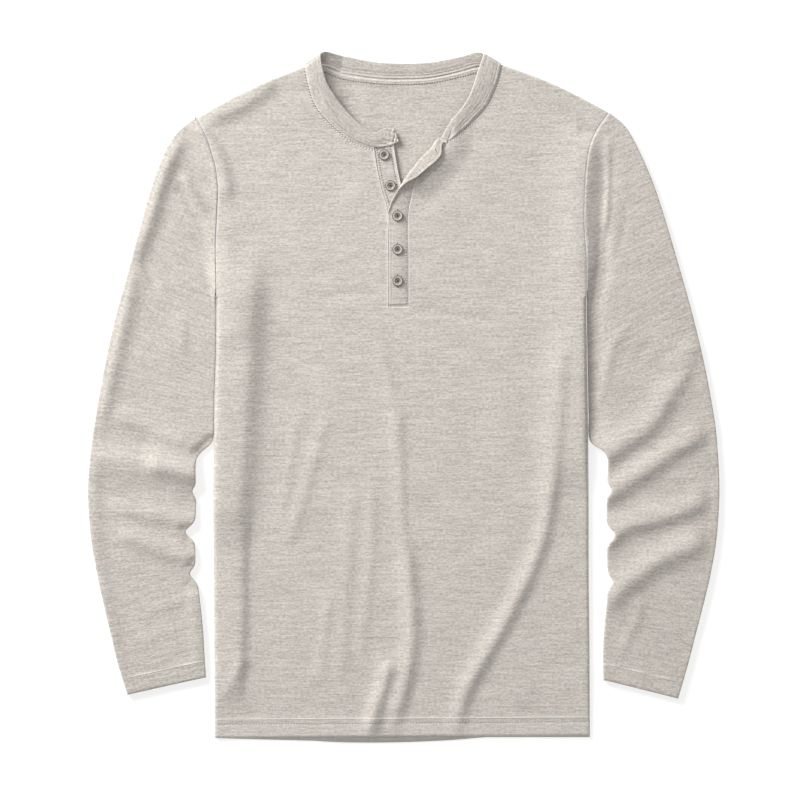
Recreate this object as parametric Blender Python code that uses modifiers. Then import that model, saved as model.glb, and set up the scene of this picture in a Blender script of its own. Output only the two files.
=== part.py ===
"""Long-sleeved henley shirt, laid flat on its back.

The shirt lies on the XY plane with its underside at z = 0. X runs across the chest towards the
wearer's left, Y runs from the hem to the neck and Z points up, away from the surface. The origin is
the middle of the shirt's outline. Tables are in millimetres, and MM turns them into metres.

Every cloth piece is a wall: an outer face worked out from rows of points and a height over the
surface, thickened inwards. The height is the rest height of the cloth, its rolled edges and its folds.
"""

from collections import namedtuple
from math import cos, pi, radians, sin

import bmesh
import bpy
import numpy as np

MM = 0.001

# Driving dimensions, in millimetres.
WALL = 1.2                  # jersey, as thick as the solids may be thin
GAP = 0.3                   # between pieces at a seam
BODY_REST = 4.7             # height of the front's face where the two panels lie on each other
FRONT_LOWEST = 3.2          # the front's face never sinks deeper than this
SLEEVE_REST = 5.6
SLEEVE_LOWEST = 3.3
FLOOR_SOFTNESS = 0.8        # how gently a trough eases onto its lowest height
SIDE_FULLNESS, SIDE_FULLNESS_WIDTH = 1.2, 30.0        # the front stands up beside the side seams
NECK_FULLNESS, NECK_FULLNESS_WIDTH = 4.2, 62.0        # and more where the neckband folds over
HEM_FLATTENING, HEM_FLATTENING_WIDTH = 0.7, 30.0
ARMHOLE_DIP, ARMHOLE_DIP_WIDTH, ARMHOLE_DIP_EASE = 0.7, 3.5, 12.0
SIDE_ROLL = 4.5             # radius of the front's roll down to the side and shoulder seams
SEAM_HEIGHT = 2.2           # height of the front's edge where it meets the back
BACK_TURN_UP = 0.4          # how far the back's edge turns up at the sides
BACK_TURN_WIDTH = 3.0
BACK_CROWN_START = 150.0    # above this the back's rows bend up to the shape of its neckline
SLEEVE_ROLL = 3.0
SLEEVE_COLUMNS = 12
SLEEVE_UNDER_COLUMNS = 5
BOWED_ROWS = 5.0            # sleeve rows over which the armhole's bow dies away
SEAM_EASE = 0.5             # the sleeve's armhole edge stands this much further off mid seam
FAN_EASE = (0.0, 1.6, 1.3, 0.8, 0.3)       # the rows after it fan out by this much more
ROLL_ANGLES = (0.25 * pi, 0.5 * pi, 0.75 * pi)
BAND_WALL = 1.6             # the neckband is folded double
PLACKET_WIDTH = 24.0
PLACKET_ROLL = 1.9          # radius at which the turned-back placket folds
BUTTON_DIAMETER = 11.6
BUTTON_THICKNESS = 2.4
BUTTON_HOLE = 1.7
BUTTON_HOLE_SPACING = 2.6

CLOTH_COLOUR = (0.56, 0.53, 0.48, 1.0)
BUTTON_COLOUR = (0.30, 0.27, 0.24, 1.0)

Section = namedtuple("Section", "outer_x outer_y inner_x inner_y steps")
HalfRow = namedtuple("HalfRow", "right_outer_x right_outer_y right_inner_x right_inner_y "
                                "left_inner_x left_inner_y left_outer_x left_outer_y")
BodyRow = namedtuple("BodyRow", "right_x left_x y")
Crease = namedtuple("Crease", "height width path")
Notch = namedtuple("Notch", "y depth width")
BandRow = namedtuple("BandRow", "seam_x seam_y seam_z top_x top_y top_z steps")
PlacketRow = namedtuple("PlacketRow", "sewn_x sewn_y turn flat_run lift")

# Front above the foot of the placket slot: one row from the armhole to the slot or the neckline,
# on the wearer's right and left. The last row is the shoulder.
UPPER_ROWS = [
    HalfRow(-205.6, 108.0, -17.6, 117.7, 2.2, 117.7, 201.2, 108.0),
    HalfRow(-205.8, 128.0, -17.6, 155.1, 2.2, 155.1, 201.3, 128.0),
    HalfRow(-206.3, 155.0, -18.0, 202.7, 2.2, 200.2, 201.1, 155.0),
    HalfRow(-205.2, 180.0, -23.7, 228.6, 7.7, 226.1, 199.3, 180.0),
    HalfRow(-204.0, 205.0, -28.5, 251.1, 11.0, 244.0, 198.3, 207.0),
    HalfRow(-203.5, 225.0, -32.3, 275.2, 23.5, 264.0, 199.0, 230.0),
    HalfRow(-204.9, 241.0, -48.2, 280.5, 43.5, 278.9, 200.3, 250.0),
    HalfRow(-207.0, 255.0, -65.7, 291.0, 57.1, 289.3, 203.0, 270.0),
    HalfRow(-210.5, 267.0, -83.3, 306.8, 74.6, 305.0, 207.5, 284.0),
    HalfRow(-215.0, 283.0, -95.5, 322.5, 90.4, 322.5, 212.9, 294.8),
    HalfRow(-221.0, 295.0, -103.4, 345.4, 100.9, 345.4, 219.0, 304.0),
    HalfRow(-227.7, 304.7, -106.9, 364.7, 106.2, 367.4, 225.6, 311.9),
]
RIGHT_UNDERARM = (-205.7, 118.8)
LEFT_UNDERARM = (201.25, 118.8)
RIGHT_CORNER = 5            # the row where the slot meets the neckline, on either side
LEFT_CORNER = 6
SHOULDER_STEPS = (0.56, 0.8, 0.94)         # rows that round the shoulder roll

# Front below the slot, from the hem up, each row from side to side.
LOWER_ROWS = [
    BodyRow(-207.9, 205.2, -373.6), BodyRow(-207.8, 205.1, -352.0), BodyRow(-207.7, 205.0, -330.0),
    BodyRow(-207.9, 204.9, -307.0), BodyRow(-208.1, 204.8, -284.0), BodyRow(-208.2, 204.6, -261.0),
    BodyRow(-208.4, 204.4, -238.0), BodyRow(-208.6, 204.1, -214.0), BodyRow(-208.8, 203.9, -190.0),
    BodyRow(-209.0, 203.8, -166.0), BodyRow(-209.2, 203.8, -141.0), BodyRow(-209.4, 203.8, -116.0),
    BodyRow(-209.3, 203.7, -90.0), BodyRow(-209.0, 203.5, -62.0), BodyRow(-208.4, 203.2, -33.0),
    BodyRow(-207.6, 202.8, -4.0), BodyRow(-206.8, 202.3, 25.0), BodyRow(-206.1, 201.8, 55.0),
    BodyRow(-205.7, 201.4, 83.0),
]
HEM_SLOPE = 2.6             # the front hem is this much higher at the wearer's left
HEM_SLOPE_TOP = -340.0      # and runs level from here up
BACK_HEM_DROP = 6.0         # the back hem hangs out below the front by this much in the middle
BACK_HEM_DROP_SHARE = 0.8   # over this share of its length from the wearer's right
BACK_HEM_LEAST = 0.9
MIDDLE_COLUMNS = 3
HALF_COLUMNS = 15
EDGE_STEPS = (0.0, 0.6, 2.0, 4.5)          # columns that round a rolled edge

BACK_NECKLINE = [(-106.9, 364.7), (-87.7, 363.6), (-65.7, 354.2), (-30.6, 349.3), (-0.6, 348.2),
                 (29.2, 349.8), (58.9, 355.9), (81.6, 362.6), (106.2, 367.4)]

# Sleeves: a section from the outer edge to the inner edge, from the armhole to the cuff.
RIGHT_SLEEVE = [
    Section(-228.6, 305.0, -206.1, 118.6, 2), Section(-254.7, 281.1, -206.1, 102.3, 2),
    Section(-275.0, 237.6, -206.2, 83.6, 2), Section(-289.3, 188.1, -206.6, 63.8, 2),
    Section(-304.2, 133.7, -207.4, 40.7, 2), Section(-319.6, 77.0, -208.8, 9.9, 1),
    Section(-330.8, 23.1, -209.9, -19.8, 2), Section(-339.4, -25.3, -210.9, -48.4, 1),
    Section(-343.4, -53.9, -227.4, -68.2, 3), Section(-347.2, -103.4, -227.8, -106.2, 4),
    Section(-343.8, -155.1, -229.0, -148.5, 3), Section(-337.4, -192.5, -228.3, -194.7, 2),
    Section(-332.5, -216.7, -225.0, -214.5, 2), Section(-322.9, -257.4, -220.9, -251.9, 1),
    Section(-315.2, -290.4, -219.2, -278.3, 2), Section(-303.8, -327.8, -217.3, -308.7, 0),
]
LEFT_SLEEVE = [
    Section(226.6, 312.2, 201.8, 118.6, 2), Section(247.0, 293.7, 201.8, 102.3, 2),
    Section(269.5, 248.6, 202.0, 83.6, 2), Section(284.9, 205.7, 202.2, 63.8, 2),
    Section(301.3, 150.7, 202.6, 40.7, 2), Section(317.4, 93.5, 203.2, 9.9, 1),
    Section(331.1, 36.3, 203.8, -19.8, 2), Section(340.8, -15.4, 205.4, -48.4, 1),
    Section(344.9, -47.3, 223.6, -64.9, 3), Section(347.7, -101.2, 223.6, -102.3, 4),
    Section(344.6, -155.1, 223.3, -151.8, 3), Section(338.0, -194.7, 224.7, -201.3, 2),
    Section(332.2, -220.0, 223.7, -223.3, 2), Section(321.8, -260.7, 220.9, -256.3, 1),
    Section(313.3, -293.7, 219.5, -283.8, 2), Section(302.3, -331.9, 220.0, -311.9, 0),
]
# Where the cloth folds at the elbow, the inner edge is drawn in.
RIGHT_NOTCHES = [Notch(-104.0, 4.3, 6.0), Notch(-148.5, 10.8, 8.0), Notch(-194.7, 6.6, 7.0)]
LEFT_NOTCHES = [Notch(-102.3, 5.2, 6.0), Notch(-151.8, 9.3, 8.5), Notch(-203.5, 5.7, 7.0)]

# Folds: height over the cloth (troughs are negative), half width and the line they follow.
BODY_CREASES = [
    Crease(3.6, 10.0, [(-168.5, 125.0), (-169.5, 0.0), (-176.0, -110.0), (-182.0, -190.0),
                       (-184.0, -290.0), (-192.0, -365.0)]),
    Crease(-1.2, 10.0, [(-151.0, 110.0), (-152.0, 0.0), (-158.0, -100.0), (-167.0, -190.0),
                        (-168.0, -300.0)]),
    Crease(2.0, 12.0, [(-75.0, 10.0), (-93.0, -60.0), (-110.0, -115.0), (-127.0, -175.0)]),
    Crease(2.0, 9.0, [(-71.0, -205.0), (-76.0, -265.0), (-92.0, -330.0)]),
    Crease(1.7, 8.0, [(-45.0, -185.0), (-49.0, -240.0), (-58.0, -295.0)]),
    Crease(3.0, 9.5, [(-5.0, 0.0), (-2.0, -80.0), (3.0, -160.0), (8.0, -225.0), (6.0, -275.0)]),
    Crease(4.8, 9.5, [(-18.0, -270.0), (-25.0, -310.0), (-35.0, -345.0), (-44.0, -395.0)]),
    Crease(3.0, 9.5, [(6.0, -265.0), (1.0, -320.0), (-10.0, -390.0)]),
    Crease(4.6, 12.0, [(172.0, 60.0), (172.0, 0.0), (167.0, -60.0), (157.0, -110.0), (146.0, -158.0),
                       (128.0, -205.0), (108.0, -244.0), (92.0, -282.0), (74.0, -315.0),
                       (58.0, -355.0), (48.0, -395.0)]),
    Crease(-1.6, 11.0, [(189.0, 40.0), (189.0, -20.0), (183.0, -90.0), (168.0, -150.0),
                        (148.0, -205.0), (124.0, -260.0), (102.0, -310.0), (82.0, -370.0)]),
    Crease(1.2, 9.0, [(40.0, 92.0), (75.0, 87.0), (120.0, 76.0)]),
    Crease(-2.2, 9.0, [(-222.0, 300.0), (-192.0, 306.0), (-172.0, 320.0), (-145.0, 333.0)]),
    Crease(-2.0, 9.5, [(-208.0, 285.0), (-197.0, 255.0), (-191.0, 228.0), (-190.0, 190.0)]),
    Crease(2.0, 8.0, [(189.0, 300.0), (193.0, 270.0), (192.0, 225.0)]),
    Crease(-2.0, 10.0, [(150.0, 328.0), (188.0, 309.0), (214.0, 298.0)]),
    Crease(-1.8, 13.0, [(12.0, 205.0), (40.0, 232.0), (66.0, 262.0), (84.0, 300.0)]),
    Crease(1.1, 5.0, [(-17.0, 112.0), (-19.5, 92.0), (-21.5, 72.0)]),
]
RIGHT_SLEEVE_CREASES = [
    Crease(-2.3, 8.0, [(-238.0, 288.0), (-256.0, 255.0), (-270.0, 215.0), (-284.0, 170.0),
                       (-292.0, 130.0)]),
    Crease(2.0, 9.0, [(-254.0, 248.0), (-228.0, 216.0), (-214.0, 190.0), (-206.0, 140.0)]),
    Crease(-1.2, 8.0, [(-298.0, 125.0), (-313.0, 50.0), (-329.0, -20.0), (-335.0, -60.0)]),
    Crease(2.8, 8.0, [(-312.0, -12.0), (-285.0, -27.0), (-258.0, -41.0), (-225.0, -54.0)]),
    Crease(-3.0, 7.0, [(-342.0, -78.0), (-300.0, -79.0), (-266.0, -86.0), (-245.0, -102.0),
                       (-215.0, -106.0)]),
    Crease(3.0, 8.5, [(-332.0, -103.0), (-298.0, -105.0), (-262.0, -118.0), (-222.0, -125.0)]),
    Crease(-3.2, 7.0, [(-336.0, -131.0), (-290.0, -133.0), (-258.0, -139.0), (-218.0, -149.0)]),
    Crease(2.6, 7.5, [(-326.0, -150.0), (-290.0, -154.0), (-258.0, -164.0), (-222.0, -170.0)]),
    Crease(-2.8, 7.0, [(-322.0, -160.0), (-290.0, -170.0), (-258.0, -188.0), (-220.0, -196.0)]),
    Crease(1.6, 8.0, [(-318.0, -186.0), (-285.0, -197.0), (-255.0, -212.0), (-232.0, -222.0)]),
]
LEFT_SLEEVE_CREASES = [
    Crease(-3.0, 9.0, [(208.0, 280.0), (211.0, 235.0), (213.0, 195.0), (208.0, 140.0)]),
    Crease(-1.5, 6.5, [(240.0, 225.0), (244.0, 195.0), (238.0, 160.0), (222.0, 128.0)]),
    Crease(-1.5, 7.0, [(240.0, 82.0), (231.0, 35.0), (213.0, -22.0)]),
    Crease(-2.9, 8.0, [(322.0, 45.0), (308.0, 12.0), (292.0, -22.0), (262.0, -48.0), (222.0, -72.0)]),
    Crease(2.6, 9.0, [(332.0, 5.0), (304.0, -36.0), (276.0, -58.0), (232.0, -84.0)]),
    Crease(-3.2, 8.0, [(338.0, -42.0), (303.0, -60.0), (272.0, -82.0), (248.0, -100.0),
                       (214.0, -106.0)]),
    Crease(3.0, 9.5, [(336.0, -86.0), (304.0, -99.0), (276.0, -113.0), (226.0, -132.0)]),
    Crease(-3.2, 7.0, [(334.0, -126.0), (293.0, -140.0), (254.0, -150.0), (212.0, -152.0)]),
    Crease(2.7, 8.0, [(334.0, -150.0), (304.0, -157.0), (272.0, -172.0), (226.0, -184.0)]),
    Crease(-2.9, 7.5, [(332.0, -169.0), (292.0, -186.0), (256.0, -200.0), (214.0, -206.0)]),
    Crease(-1.4, 7.5, [(262.0, -230.0), (253.0, -260.0), (226.0, -288.0)]),
]

# Neckband, from its end over the button placket, round the back, to its turned-back other end.
NECKBAND_ROWS = [
    BandRow(-10.1, 278.9, 5.4, -9.9, 295.0, 5.8, 1), BandRow(-20.4, 276.4, 6.0, -20.4, 295.6, 6.8, 1),
    BandRow(-32.0, 276.2, 5.6, -32.1, 291.0, 6.4, 2), BandRow(-48.0, 281.5, 5.4, -48.2, 299.8, 6.4, 2),
    BandRow(-65.2, 292.0, 6.2, -62.2, 313.8, 7.4, 2), BandRow(-82.6, 307.6, 7.4, -74.5, 329.6, 8.8, 2),
    BandRow(-94.7, 323.2, 8.8, -83.3, 343.6, 10.4, 2), BandRow(-102.6, 345.6, 9.6, -88.6, 359.4, 11.6, 2),
    BandRow(-106.0, 362.9, 9.0, -90.8, 374.0, 11.0, 2), BandRow(-108.5, 366.6, 5.6, -91.0, 378.4, 7.0, 2),
    BandRow(-103.5, 366.4, 2.2, -83.3, 379.2, 3.2, 2), BandRow(-86.5, 364.6, 1.7, -75.0, 377.4, 4.6, 2),
    BandRow(-65.3, 355.0, 1.7, -61.0, 374.4, 6.0, 3), BandRow(-30.5, 350.0, 1.7, -33.0, 368.9, 6.6, 2),
    BandRow(-0.6, 348.9, 1.7, -0.6, 367.0, 6.6, 2), BandRow(29.1, 350.5, 1.7, 31.0, 368.4, 6.6, 3),
    BandRow(58.5, 356.6, 1.7, 60.0, 373.8, 6.0, 2), BandRow(81.2, 363.3, 1.7, 72.0, 377.2, 4.6, 2),
    BandRow(100.5, 368.6, 2.2, 80.8, 379.4, 3.2, 2), BandRow(107.5, 369.4, 5.6, 87.8, 379.0, 7.0, 2),
    BandRow(105.4, 365.6, 9.0, 87.2, 374.4, 11.0, 2), BandRow(100.1, 345.8, 9.6, 81.6, 357.8, 11.6, 2),
    BandRow(89.6, 323.3, 8.8, 72.8, 332.0, 10.6, 2), BandRow(74.0, 305.9, 7.6, 60.6, 314.0, 9.0, 2),
    BandRow(57.0, 290.6, 6.6, 53.5, 307.5, 7.6, 1), BandRow(46.5, 284.5, 6.4, 53.0, 303.5, 7.4, 1),
    BandRow(40.2, 286.5, 8.2, 52.0, 303.0, 9.2, 1), BandRow(42.5, 286.0, 10.0, 54.0, 303.5, 11.0, 1),
    BandRow(47.4, 282.4, 11.2, 57.0, 302.5, 12.2, 0),
]

# Buttonhole placket from its foot to the neckband. It lies flat at first; further up it turns over
# once it has run flat_run from its sewn edge. turn is the way it runs from there, in degrees from -X
# towards the neck, and lift is how far its free edge springs up.
OVER_PLACKET_ROWS = [
    PlacketRow(6.0, 97.9, 0.0, 40.0, 0.0), PlacketRow(5.6, 123.2, 0.0, 40.0, 0.0),
    PlacketRow(5.4, 155.1, 0.0, 40.0, 0.0), PlacketRow(4.9, 183.7, 0.0, 40.0, 0.0),
    PlacketRow(4.9, 199.5, 2.0, 26.0, 0.3), PlacketRow(5.8, 211.2, 8.0, 20.5, 0.8),
    PlacketRow(8.8, 221.1, 16.0, 18.0, 1.4), PlacketRow(11.4, 228.4, 26.0, 15.0, 2.0),
    PlacketRow(13.2, 238.0, 34.0, 10.5, 2.8), PlacketRow(16.4, 247.3, 36.0, 7.5, 3.4),
    PlacketRow(21.0, 254.8, 37.0, 6.2, 3.8), PlacketRow(26.2, 262.0, 38.0, 5.6, 3.8),
    PlacketRow(31.0, 267.4, 40.0, 5.2, 3.6), PlacketRow(36.2, 273.6, 42.0, 5.0, 3.0),
    PlacketRow(40.6, 278.4, 43.0, 5.0, 2.4),
]
PLACKET_COLUMNS = 9
OVER_PLACKET_RAISE = 2.0    # its face over the front's face
OVER_PLACKET_FULLNESS = 0.5

UNDER_PLACKET_SEWN = [(-17.2, 121.0), (-17.2, 155.1), (-17.5, 202.7), (-23.2, 228.6), (-28.0, 251.1),
                      (-31.6, 274.0)]
UNDER_PLACKET_FREE = [(1.6, 121.0), (1.6, 155.1), (1.4, 195.0), (-2.0, 228.6), (-6.4, 251.1),
                      (-10.2, 277.0)]
UNDER_PLACKET_COLUMNS = 4
UNDER_PLACKET_DROP = 0.3    # its face under the front's face

BUTTON_CENTRES = [(-21.2, 266.5), (-14.3, 232.7), (-6.5, 199.2), (-6.4, 162.4), (-6.4, 127.7)]
BUTTONS_ON_OVER_PLACKET = (3, 4, 5)


def clear_scene():
    for item in list(bpy.data.objects):
        bpy.data.objects.remove(item, do_unlink=True)


def make_material(name, colour, roughness):
    """A plain finish with the given colour and roughness."""
    material = bpy.data.materials.new(name)
    material.use_nodes = True
    surface = material.node_tree.nodes["Principled BSDF"]
    surface.inputs["Base Color"].default_value = colour
    surface.inputs["Roughness"].default_value = roughness
    surface.inputs["Metallic"].default_value = 0.0
    material.diffuse_color = colour
    return material


def smooth_line(points, steps):
    """Points on a smooth curve through the given ones, with steps[i] pieces after point i."""
    known = np.array(points, float)
    ends = [2.0 * known[0] - known[1]], [2.0 * known[-1] - known[-2]]
    padded = np.vstack([ends[0], known, ends[1]])
    line = []
    for i in range(len(known) - 1):
        before, start, stop, after = padded[i:i + 4]
        for k in range(steps[i]):
            t = k / steps[i]
            line.append(0.5 * (2.0 * start + (stop - before) * t
                               + (2.0 * before - 5.0 * start + 4.0 * stop - after) * t * t
                               + (3.0 * start - before - 3.0 * stop + after) * t ** 3))
    line.append(known[-1])
    return np.array(line)


def distance_to_line(x, y, line):
    """Distance in the plan from each point to a line of straight pieces."""
    best = np.full(np.shape(x), np.inf)
    for (ax, ay), (bx, by) in zip(line[:-1], line[1:]):
        along = ((x - ax) * (bx - ax) + (y - ay) * (by - ay)) / ((bx - ax) ** 2 + (by - ay) ** 2)
        along = np.clip(along, 0.0, 1.0)
        best = np.minimum(best, np.hypot(x - ax - along * (bx - ax), y - ay - along * (by - ay)))
    return best


def crease_height(x, y, creases):
    """Sum of soft ridges and troughs, each fading out over the first and last fifth of its line."""
    total = np.zeros(np.shape(x))
    for crease in creases:
        line = smooth_line(crease.path, [8] * (len(crease.path) - 1))
        away = np.hypot(x[..., None] - line[:, 0], y[..., None] - line[:, 1])
        along = away.argmin(-1) / (len(line) - 1)
        fade = np.clip(5.0 * along, 0.0, 1.0) * np.clip(5.0 * (1.0 - along), 0.0, 1.0)
        total += crease.height * fade * np.exp(-(away.min(-1) / crease.width) ** 2)
    return total


def soft_floor(height, lowest):
    """Height that eases onto a lowest value instead of dropping below it."""
    return lowest + 0.5 * ((height - lowest) + np.sqrt((height - lowest) ** 2 + FLOOR_SOFTNESS))


def roll(distance, radius):
    """Rise of a rolled edge, from 0 at the edge to 1 one radius in."""
    short = 1.0 - np.clip(distance / radius, 0.0, 1.0)
    return np.sqrt(1.0 - short ** 2)


def side_lines():
    """Side seams from the underarm to the hem, on the wearer's right and left."""
    right = [(row.right_x, row.y) for row in LOWER_ROWS] + [UPPER_ROWS[0][0:2]]
    left = [(row.left_x, row.y) for row in LOWER_ROWS] + [UPPER_ROWS[0][6:8]]
    return right, left


def shoulder_lines():
    shoulder = UPPER_ROWS[-1]
    return [shoulder[0:2], shoulder[2:4]], [shoulder[4:6], shoulder[6:8]]


def armhole_lines():
    right = [RIGHT_UNDERARM] + [row[0:2] for row in UPPER_ROWS[1:]]
    left = [LEFT_UNDERARM] + [row[6:8] for row in UPPER_ROWS[1:]]
    return right, left


def front_height(x, y):
    """Height of the front's outer face at each point of the plan."""
    side = np.minimum(*[distance_to_line(x, y, line) for line in side_lines()])
    shoulder = np.minimum(*[distance_to_line(x, y, line) for line in shoulder_lines()])
    armhole = np.minimum(*[distance_to_line(x, y, line) for line in armhole_lines()])
    neck_points = UPPER_ROWS[-1][2:4], UPPER_ROWS[-1][4:6]
    neck_point = np.minimum(*[np.hypot(x - px, y - py) for px, py in neck_points])
    height = BODY_REST + SIDE_FULLNESS * np.exp(-side / SIDE_FULLNESS_WIDTH)
    height = height + NECK_FULLNESS * np.exp(-(neck_point / NECK_FULLNESS_WIDTH) ** 2)
    height = height - HEM_FLATTENING * np.exp(-(y - LOWER_ROWS[0].y) / HEM_FLATTENING_WIDTH)
    height = soft_floor(height + crease_height(x, y, BODY_CREASES), FRONT_LOWEST)
    dip = ARMHOLE_DIP * np.exp(-(armhole / ARMHOLE_DIP_WIDTH) ** 2)
    height = height - dip * roll(shoulder, ARMHOLE_DIP_EASE)
    edge = np.minimum(side, shoulder)
    return SEAM_HEIGHT + (height - SEAM_HEIGHT) * roll(edge, SIDE_ROLL)


def add_wall(name, points, faces, thickness, material, collection):
    """A cloth piece: its outer face as a mesh, thickened inwards by a Solidify modifier."""
    mesh = bpy.data.meshes.new(name)
    mesh.from_pydata([tuple(MM * value for value in point) for point in points], [], faces)
    mesh.shade_smooth()
    mesh.materials.append(material)
    piece = bpy.data.objects.new(name, mesh)
    collection.objects.link(piece)
    wall = piece.modifiers.new("Wall", "SOLIDIFY")
    wall.thickness = thickness * MM
    wall.offset = -1.0
    return piece


def grid_faces(rows, columns, closed=False):
    """Four-sided faces of a grid stored row by row; a closed grid joins its last column to its first."""
    faces = []
    for i in range(rows - 1):
        for k in range(columns if closed else columns - 1):
            after = (k + 1) % columns
            faces.append((i * columns + k, i * columns + after,
                          (i + 1) * columns + after, (i + 1) * columns + k))
    return faces


def half_line(outer, inner):
    """Points from a side or armhole in to the middle, closer together where the edge rolls."""
    outer = np.array(outer)
    inner = np.array(inner)
    length = np.hypot(*(inner - outer))
    rest = np.linspace(EDGE_STEPS[-1], length, HALF_COLUMNS + 1)[1:]
    return [outer + (inner - outer) * step / length for step in [*EDGE_STEPS, *rest]]


def upper_rows():
    """Rows above the slot's foot, with a row more between each two along the curved neckline."""
    table = np.array(UPPER_ROWS)
    double = [2] * (len(table) - 1)
    right = smooth_line(table[RIGHT_CORNER:, :4], double[RIGHT_CORNER:])
    left = smooth_line(table[LEFT_CORNER:, 4:], double[LEFT_CORNER:])
    between = 0.5 * (table[RIGHT_CORNER, 4:] + table[LEFT_CORNER, 4:])
    left = np.vstack([table[RIGHT_CORNER, 4:], between, left])
    return [*table[:RIGHT_CORNER], *np.hstack([right, left])]


def front_rows():
    """Plan points of the front, row by row from the hem; above the slot's foot the middle is left out."""
    foot = UPPER_ROWS[0]
    slot = foot.right_inner_x, foot.left_inner_x
    rows = []
    for row in LOWER_ROWS:
        tilt = HEM_SLOPE / (row.left_x - row.right_x) if row.y < HEM_SLOPE_TOP else 0.0
        line = half_line((row.right_x, row.y), (slot[0], row.y))
        line += [np.array((x, row.y)) for x in np.linspace(*slot, MIDDLE_COLUMNS + 1)[1:-1]]
        line += half_line((row.left_x, row.y), (slot[1], row.y))[::-1]
        rows.append([point + (0.0, tilt * point[0]) for point in line])
    upper = upper_rows()
    before_shoulder = upper[-2]
    for part in SHOULDER_STEPS:
        upper.insert(-1, (1.0 - part) * before_shoulder + part * upper[-1])
    for row in upper:
        line = half_line(row[0:2], row[2:4])
        line += [row[2:4] + (row[4:6] - row[2:4]) * k / MIDDLE_COLUMNS for k in range(1, MIDDLE_COLUMNS)]
        line += half_line(row[6:8], row[4:6])[::-1]
        rows.append(line)
    return rows


def build_front(material, collection):
    """The front panel: one sheet up to the slot's foot, then one half on each side of it."""
    rows = front_rows()
    columns = len(rows[0])
    plan = np.array(rows).reshape(-1, 2)
    height = front_height(plan[:, 0], plan[:, 1])
    half = len(EDGE_STEPS) + HALF_COLUMNS
    middle = range(half - 1, half - 1 + MIDDLE_COLUMNS)
    slot_row = len(LOWER_ROWS)
    faces = [face for face in grid_faces(len(rows), columns)
             if face[0] // columns < slot_row or face[0] % columns not in middle]
    used = sorted({corner for face in faces for corner in face})
    new_place = {old: new for new, old in enumerate(used)}
    points = [(*plan[corner], height[corner]) for corner in used]
    faces = [tuple(new_place[corner] for corner in face) for face in faces]
    return add_wall("front", points, faces, WALL, material, collection)


def back_columns(length, share):
    """Shares along a row of the back, with two more at each end where its edge turns up."""
    edge = [0.0, 0.4 * BACK_TURN_WIDTH / length, BACK_TURN_WIDTH / length]
    return np.concatenate([edge, share[1:-1], [1.0 - step for step in edge[::-1]]])


def build_back(material, collection):
    """The back panel, flat on the surface, its side edges turned up to meet the front."""
    right_shoulder, left_shoulder = shoulder_lines()
    quarters = np.linspace(0.0, 1.0, 5)[:, None]
    right = right_shoulder[0] + quarters[:-1] * np.subtract(*right_shoulder[::-1])
    left = left_shoulder[0] + quarters[1:] * np.subtract(*left_shoulder[::-1])
    top = np.vstack([right, BACK_NECKLINE, left])
    share = (top[:, 0] - top[0, 0]) / (top[-1, 0] - top[0, 0])
    rows = []
    for row in LOWER_ROWS[::2] + UPPER_ROWS[1:-1]:
        if isinstance(row, BodyRow):
            ends = (row.right_x, row.y), (row.left_x, row.y)
        else:
            ends = row[0:2], row[6:8]
        rows.append((np.array(ends[0]), np.array(ends[1])))
    crown = top[:, 1] - (top[0, 1] + share * (top[-1, 1] - top[0, 1]))
    lines = []
    for first, last in rows:
        rise = max(0.0, (first[1] - BACK_CROWN_START) / (top[0, 1] - BACK_CROWN_START)) ** 1.5
        length = last[0] - first[0]
        across = back_columns(length, share)
        line = first + np.outer(across, last - first)
        line[:, 1] += np.interp(across, share, crown) * rise
        lines.append(line)
    across = back_columns(top[-1, 0] - top[0, 0], share)
    lines.append(np.column_stack([np.interp(across, share, top[:, k]) for k in (0, 1)]))
    along = np.clip(np.linspace(0.0, 1.0, len(across)) / BACK_HEM_DROP_SHARE, 0.0, 1.0)
    lines[0][:, 1] -= BACK_HEM_LEAST + BACK_HEM_DROP * np.sin(pi * along)
    plan = np.array(lines)
    x, y = plan[..., 0], plan[..., 1]
    side = np.minimum(*[distance_to_line(x, y, line) for line in side_lines()])
    height = BACK_TURN_UP * (1.0 - roll(side, BACK_TURN_WIDTH))
    points = np.dstack([plan, height]).reshape(-1, 3)
    faces = grid_faces(len(lines), len(across))
    return add_wall("back", points, [face[::-1] for face in faces], WALL, material, collection)


def notched(sections, notches, outward):
    """Plan rows of a sleeve from its sections, the inner edge drawn in at each notch."""
    steps = [section.steps for section in sections]
    rows = smooth_line([section[0:4] for section in sections], steps)
    for notch in notches:
        rows[:, 2] += outward * notch.depth * np.exp(-((rows[:, 3] - notch.y) / notch.width) ** 2)
    return rows


def bow_of(armhole, shares):
    """How far the armhole bows off its own chord, at each share of its length."""
    armhole = np.array(armhole)
    pieces = np.hypot(*np.diff(armhole, axis=0).T)
    travelled = np.concatenate([[0.0], np.cumsum(pieces)]) / pieces.sum()
    seam = np.column_stack([np.interp(shares, travelled, armhole[:, 0]),
                            np.interp(shares, travelled, armhole[:, 1])])
    return seam - armhole[0] - np.outer(shares, armhole[-1] - armhole[0])


def inward_directions(rows):
    """Plan directions in from a sleeve's outer and inner edge: along the row at the armhole, then
    square to the edge."""
    across = rows[:, 2:4] - rows[:, 0:2]
    across /= np.hypot(*across.T)[:, None]
    turned = np.clip(np.arange(len(rows)) / 2.0, 0.0, 1.0)[:, None]
    directions = []
    for edge, along_row in ((rows[:, 0:2], across), (rows[:, 2:4], -across)):
        tangent = np.gradient(edge, axis=0)
        square = np.column_stack([-tangent[:, 1], tangent[:, 0]])
        square *= np.sign((square * along_row).sum(axis=1))[:, None]
        square /= np.hypot(*square.T)[:, None]
        blend = (1.0 - turned) * along_row + turned * square
        directions.append(blend / np.hypot(*blend.T)[:, None])
    return directions


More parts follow.
